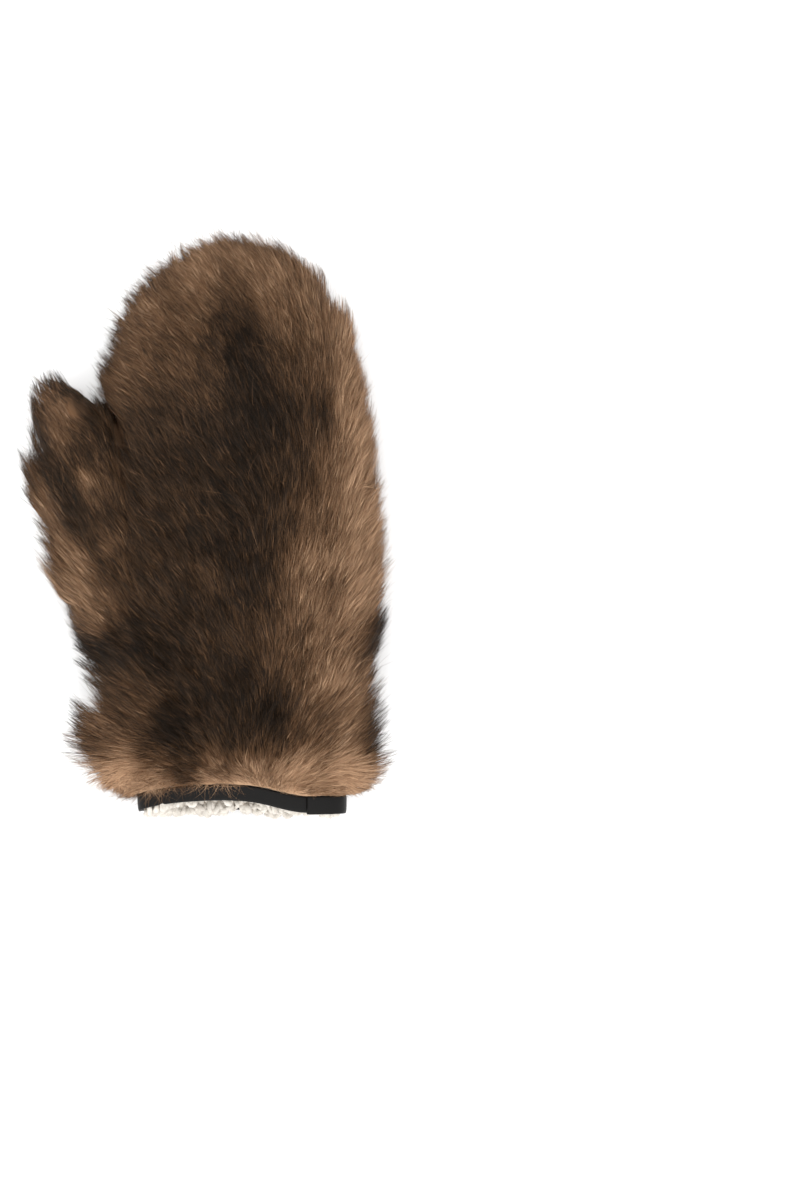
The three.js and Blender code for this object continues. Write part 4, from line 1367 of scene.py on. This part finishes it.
class MITTEN_OT_lining(bpy.types.Operator):
    """Wool lining of the hand and thumb, with its bumpy face"""

    bl_idname = "mitten.lining"
    bl_label = "Wool lining"

    def execute(self, context):
        # The shell behind the curls is painted in the full shade colour: painted shade in the gaps between
        # the curls and deep inside.
        material = wool_material("Wool ground", 1.0)
        start = MOUTH_Y + WOOL_INSET
        outer = form_grid(HAND, 0.0, -SKIN - GAP, start=start, steps=HIDDEN_STEPS)
        inner = form_grid(HAND, 0.0, -SKIN - GAP - WOOL, start=start)
        inner = inner + grid_normals(inner) * (WOOL_BUMP * wave_noise(inner, scale=4.0, seed=8))[..., None]
        mesh = shell("hand_wool", outer, inner, material)
        attach(show("hand_wool", mesh), "wool", "back_lining", "palm_lining")
        outer = form_grid(THUMB, 0.0, -SKIN - GAP, steps=HIDDEN_STEPS)
        inner = form_grid(THUMB, 0.0, -SKIN - GAP - WOOL, steps=HIDDEN_STEPS)
        mesh = shell("thumb_wool", outer, inner, material)
        attach(show("thumb_wool", mesh), "wool", "thumb_lining")
        return {"FINISHED"}


class MITTEN_OT_wool_curls(bpy.types.Operator):
    """Loose curls of wool round the mouth and inside it"""

    bl_idname = "mitten.wool_curls"
    bl_label = "Wool curls"

    def execute(self, context):
        look = context.scene.mitten_wool
        rng = np.random.default_rng(SEEDS["wool curls"])
        count = look.curls
        lip = rng.random(count) < LIP_SHARE
        turn = rng.uniform(0, 2 * math.pi, count)
        below = -math.pi * rng.uniform(*LOWER_LIP, count)
        turn = np.where(lip & (rng.random(count) < LOWER_LIP_SHARE), below, turn)
        deep = np.where(lip, rng.uniform(*LIP_DEEP, count), rng.uniform(*INSIDE_DEEP, count))
        depth = WOOL - rng.uniform(*CURL_DEPTH, count)
        depth = np.where(deep < LIP_EDGE, rng.uniform(*LIP_DEPTH, count) * WOOL, depth)
        at = HAND.point(MOUTH_Y - WOOL_OUT + deep, np.zeros(count), turn, -SKIN - GAP - depth)
        axis = unit(rng.normal(size=(count, 3)) * CURL_AXES)
        side = unit(np.cross(axis, rng.normal(size=(count, 3))))
        up = np.cross(axis, side)
        radius = look.curl_radius / MM * rng.uniform(0.6, 1.2, count)
        thick = rng.uniform(*CURL_THICK, count)

        t = np.linspace(0, 1, CURL_STEPS)
        sweep = 2 * math.pi * rng.uniform(*CURL_TURNS, count)[:, None] * t
        sweep = sweep + rng.uniform(*PHASES, count)[:, None]
        climb = axis[:, None] * ((t - 0.5)[None, :] * rng.uniform(*CURL_CLIMB, count)[:, None])[..., None]
        circle = side[:, None] * np.cos(sweep)[..., None] + up[:, None] * np.sin(sweep)[..., None]
        centre = at[:, None] + circle * radius[:, None, None] + climb
        outwards = unit(centre - at[:, None] - climb)[:, :, None]
        around = 2 * math.pi * np.arange(CURL_SIDES)[None, None, :, None] / CURL_SIDES
        taper = np.sqrt(np.maximum(CURL_END, 1 - (2 * t - 1) ** 4))[None, :, None, None]
        ring = outwards * np.cos(around) + axis[:, None, None] * np.sin(around)
        points = (centre[:, :, None] + ring * thick[:, None, None, None] * taper).reshape(-1, 3)
        points[:, 2] = np.maximum(points[:, 2], FLOOR_CLEARANCE)

        base = np.arange(count)[:, None] * CURL_STEPS * CURL_SIDES
        sides = (base[..., None] + ring_faces(CURL_STEPS, CURL_SIDES)).reshape(-1, 4)
        low_end = base + np.arange(CURL_SIDES)[::-1]
        high_end = base + (CURL_STEPS - 1) * CURL_SIDES + np.arange(CURL_SIDES)
        # The curls take painted shade in random cloudy patches, up to FLEECE_CLOUDS of the shade colour.
        mesh = faced_mesh("wool_curls", points, [sides, low_end, high_end], wool_material("Curly wool", 0.45))
        attach(show("wool_curls", mesh), "wool", "back_lining", "palm_lining")
        return {"FINISHED"}


def band_piece(name, low, inner, thickness, turns, closed, material, swell=0.0):
    """A folded strip of leather round the wrist, from a rounded section swept round the mouth."""
    angle = 2 * math.pi * np.arange(BAND_SIDES) / BAND_SIDES
    height = MOUTH_Y + BAND_HEIGHT - low
    section_y = low + height / 2 + height / 2 * np.sign(np.sin(angle)) * np.abs(np.sin(angle)) ** BAND_EDGE
    bulge = thickness / 2 * (1 + np.sign(np.cos(angle)) * np.abs(np.cos(angle)) ** BAND_FACE)
    even = inner + bulge
    puff = swell * np.cos(turns * BAND_WAVES)[:, None] / 2
    grid = HAND.point(section_y[None, :], np.zeros((1, BAND_SIDES)), turns[:, None], even[None, :] + puff)
    count = len(turns)
    faces = [ring_faces(count, BAND_SIDES, closed)]
    if not closed:
        end = np.arange(BAND_SIDES)[None, :]
        faces += [end[:, ::-1], (count - 1) * BAND_SIDES + end]
    mesh = faced_mesh(name, grid, faces, material)
    weld(mesh)
    return show(name, mesh)


class MITTEN_OT_band(bpy.types.Operator):
    """Black leather band round the wrist edge, with its lapped end"""

    bl_idname = "mitten.band"
    bl_label = "Wrist band"

    def execute(self, context):
        material = leather_material()
        thick = context.scene.mitten_band.thickness / MM
        whole = np.linspace(0, 2 * math.pi, BAND_STEPS, endpoint=False)
        piece = band_piece("wrist_band", MOUTH_Y, -SKIN, thick, whole, True, material, BAND_SWELL)
        attach(piece, "leather", "cuff_band")
        lap = np.radians(np.linspace(LAP_FROM, LAP_TO, LAP_STEPS))
        low = MOUTH_Y - LAP_BELOW
        piece = band_piece("lapped_end", low, BAND_OUT + GAP, LAP_LEATHER, lap, False, material)
        attach(piece, "leather", "band_lap")
        return {"FINISHED"}


class MITTEN_OT_stage(bpy.types.Operator):
    """Pale floor, soft overhead light and the camera straight above"""

    bl_idname = "mitten.stage"
    bl_label = "Stage"

    def execute(self, context):
        look = context.scene.mitten_stage
        scene = context.scene
        mesh = bpy.data.meshes.new("floor")
        corners = [(x * FLOOR_REACH, y * FLOOR_REACH, 0) for x, y in ((-1, -1), (1, -1), (1, 1), (-1, 1))]
        mesh.from_pydata(corners, [], [(0, 1, 2, 3)])
        material, tree, shader = new_material("Pale floor")
        wire(tree, shader, {"Base Color": (*look.floor, 1), "Roughness": 0.9})
        mesh.materials.append(material)
        floor = show("floor", mesh)

        world = bpy.data.worlds.new("Studio")
        world.use_nodes = True
        wire(world.node_tree, world.node_tree.nodes["Background"], {"Color": (1, 1, 1, 1), "Strength": 1.4})
        scene.world = world
        for name, place, size, share in (
            ("softbox", (-0.25, 0.45, 1.5), 1.1, 1.0),
            ("fill", (0.7, -0.7, 1.3), 1.2, 0.35),
            ("hem_fill", (0.05, -0.9, 0.5), 0.6, 0.3),
        ):
            data = bpy.data.lights.new(name, "AREA")
            data.shape = "SQUARE"
            data.size = size
            data.energy = share * look.light
            lamp = bpy.data.objects.new(name, data)
            lamp.location = place
            lamp.rotation_mode = "QUATERNION"
            lamp.rotation_quaternion = (-Vector(place)).to_track_quat("-Z", "Y")
            scene.collection.objects.link(lamp)
        scene.view_settings.view_transform = "Standard"

        data = bpy.data.cameras.new("camera")
        data.sensor_width = SENSOR
        data.lens = look.lens
        camera = bpy.data.objects.new("camera", data)
        distance = FRAME_LONG_SIDE * look.lens / SENSOR
        camera.location = (FRAME_MIDDLE[0] * MM, FRAME_MIDDLE[1] * MM, distance * MM + FOCUS_HEIGHT * MM)
        scene.collection.objects.link(camera)
        scene.camera = camera
        return {"FINISHED"}


class MITTEN_PT_panel(bpy.types.Panel):
    """Lists the steps that build the mitten"""

    bl_idname = "MITTEN_PT_panel"
    bl_label = "Fur mitten"
    bl_space_type = "VIEW_3D"
    bl_region_type = "UI"
    bl_category = "Mitten"

    def draw(self, context):
        for step in STEPS:
            self.layout.operator(step.bl_idname)


STEPS = (
    MITTEN_OT_stage,
    MITTEN_OT_undercoat,
    MITTEN_OT_back_fur,
    MITTEN_OT_palm_fur,
    MITTEN_OT_thumb_fur,
    MITTEN_OT_tufts,
    MITTEN_OT_wisps,
    MITTEN_OT_loose_hair,
    MITTEN_OT_lining,
    MITTEN_OT_wool_curls,
    MITTEN_OT_band,
)
SETTINGS = {
    "mitten_coat": MITTEN_PG_coat,
    "mitten_band": MITTEN_PG_band,
    "mitten_wool": MITTEN_PG_wool,
    "mitten_stage": MITTEN_PG_stage,
}


def register():
    for kind in (*SETTINGS.values(), *STEPS, MITTEN_PT_panel):
        bpy.utils.register_class(kind)
    for name, kind in SETTINGS.items():
        setattr(bpy.types.Scene, name, bpy.props.PointerProperty(type=kind))


def unregister():
    for name in SETTINGS:
        delattr(bpy.types.Scene, name)
    for kind in reversed((*SETTINGS.values(), *STEPS, MITTEN_PT_panel)):
        bpy.utils.unregister_class(kind)


def main():
    register()
    for step in STEPS:
        group, call = step.bl_idname.split(".")
        getattr(getattr(bpy.ops, group), call)()


if __name__ == "__main__":
    main()
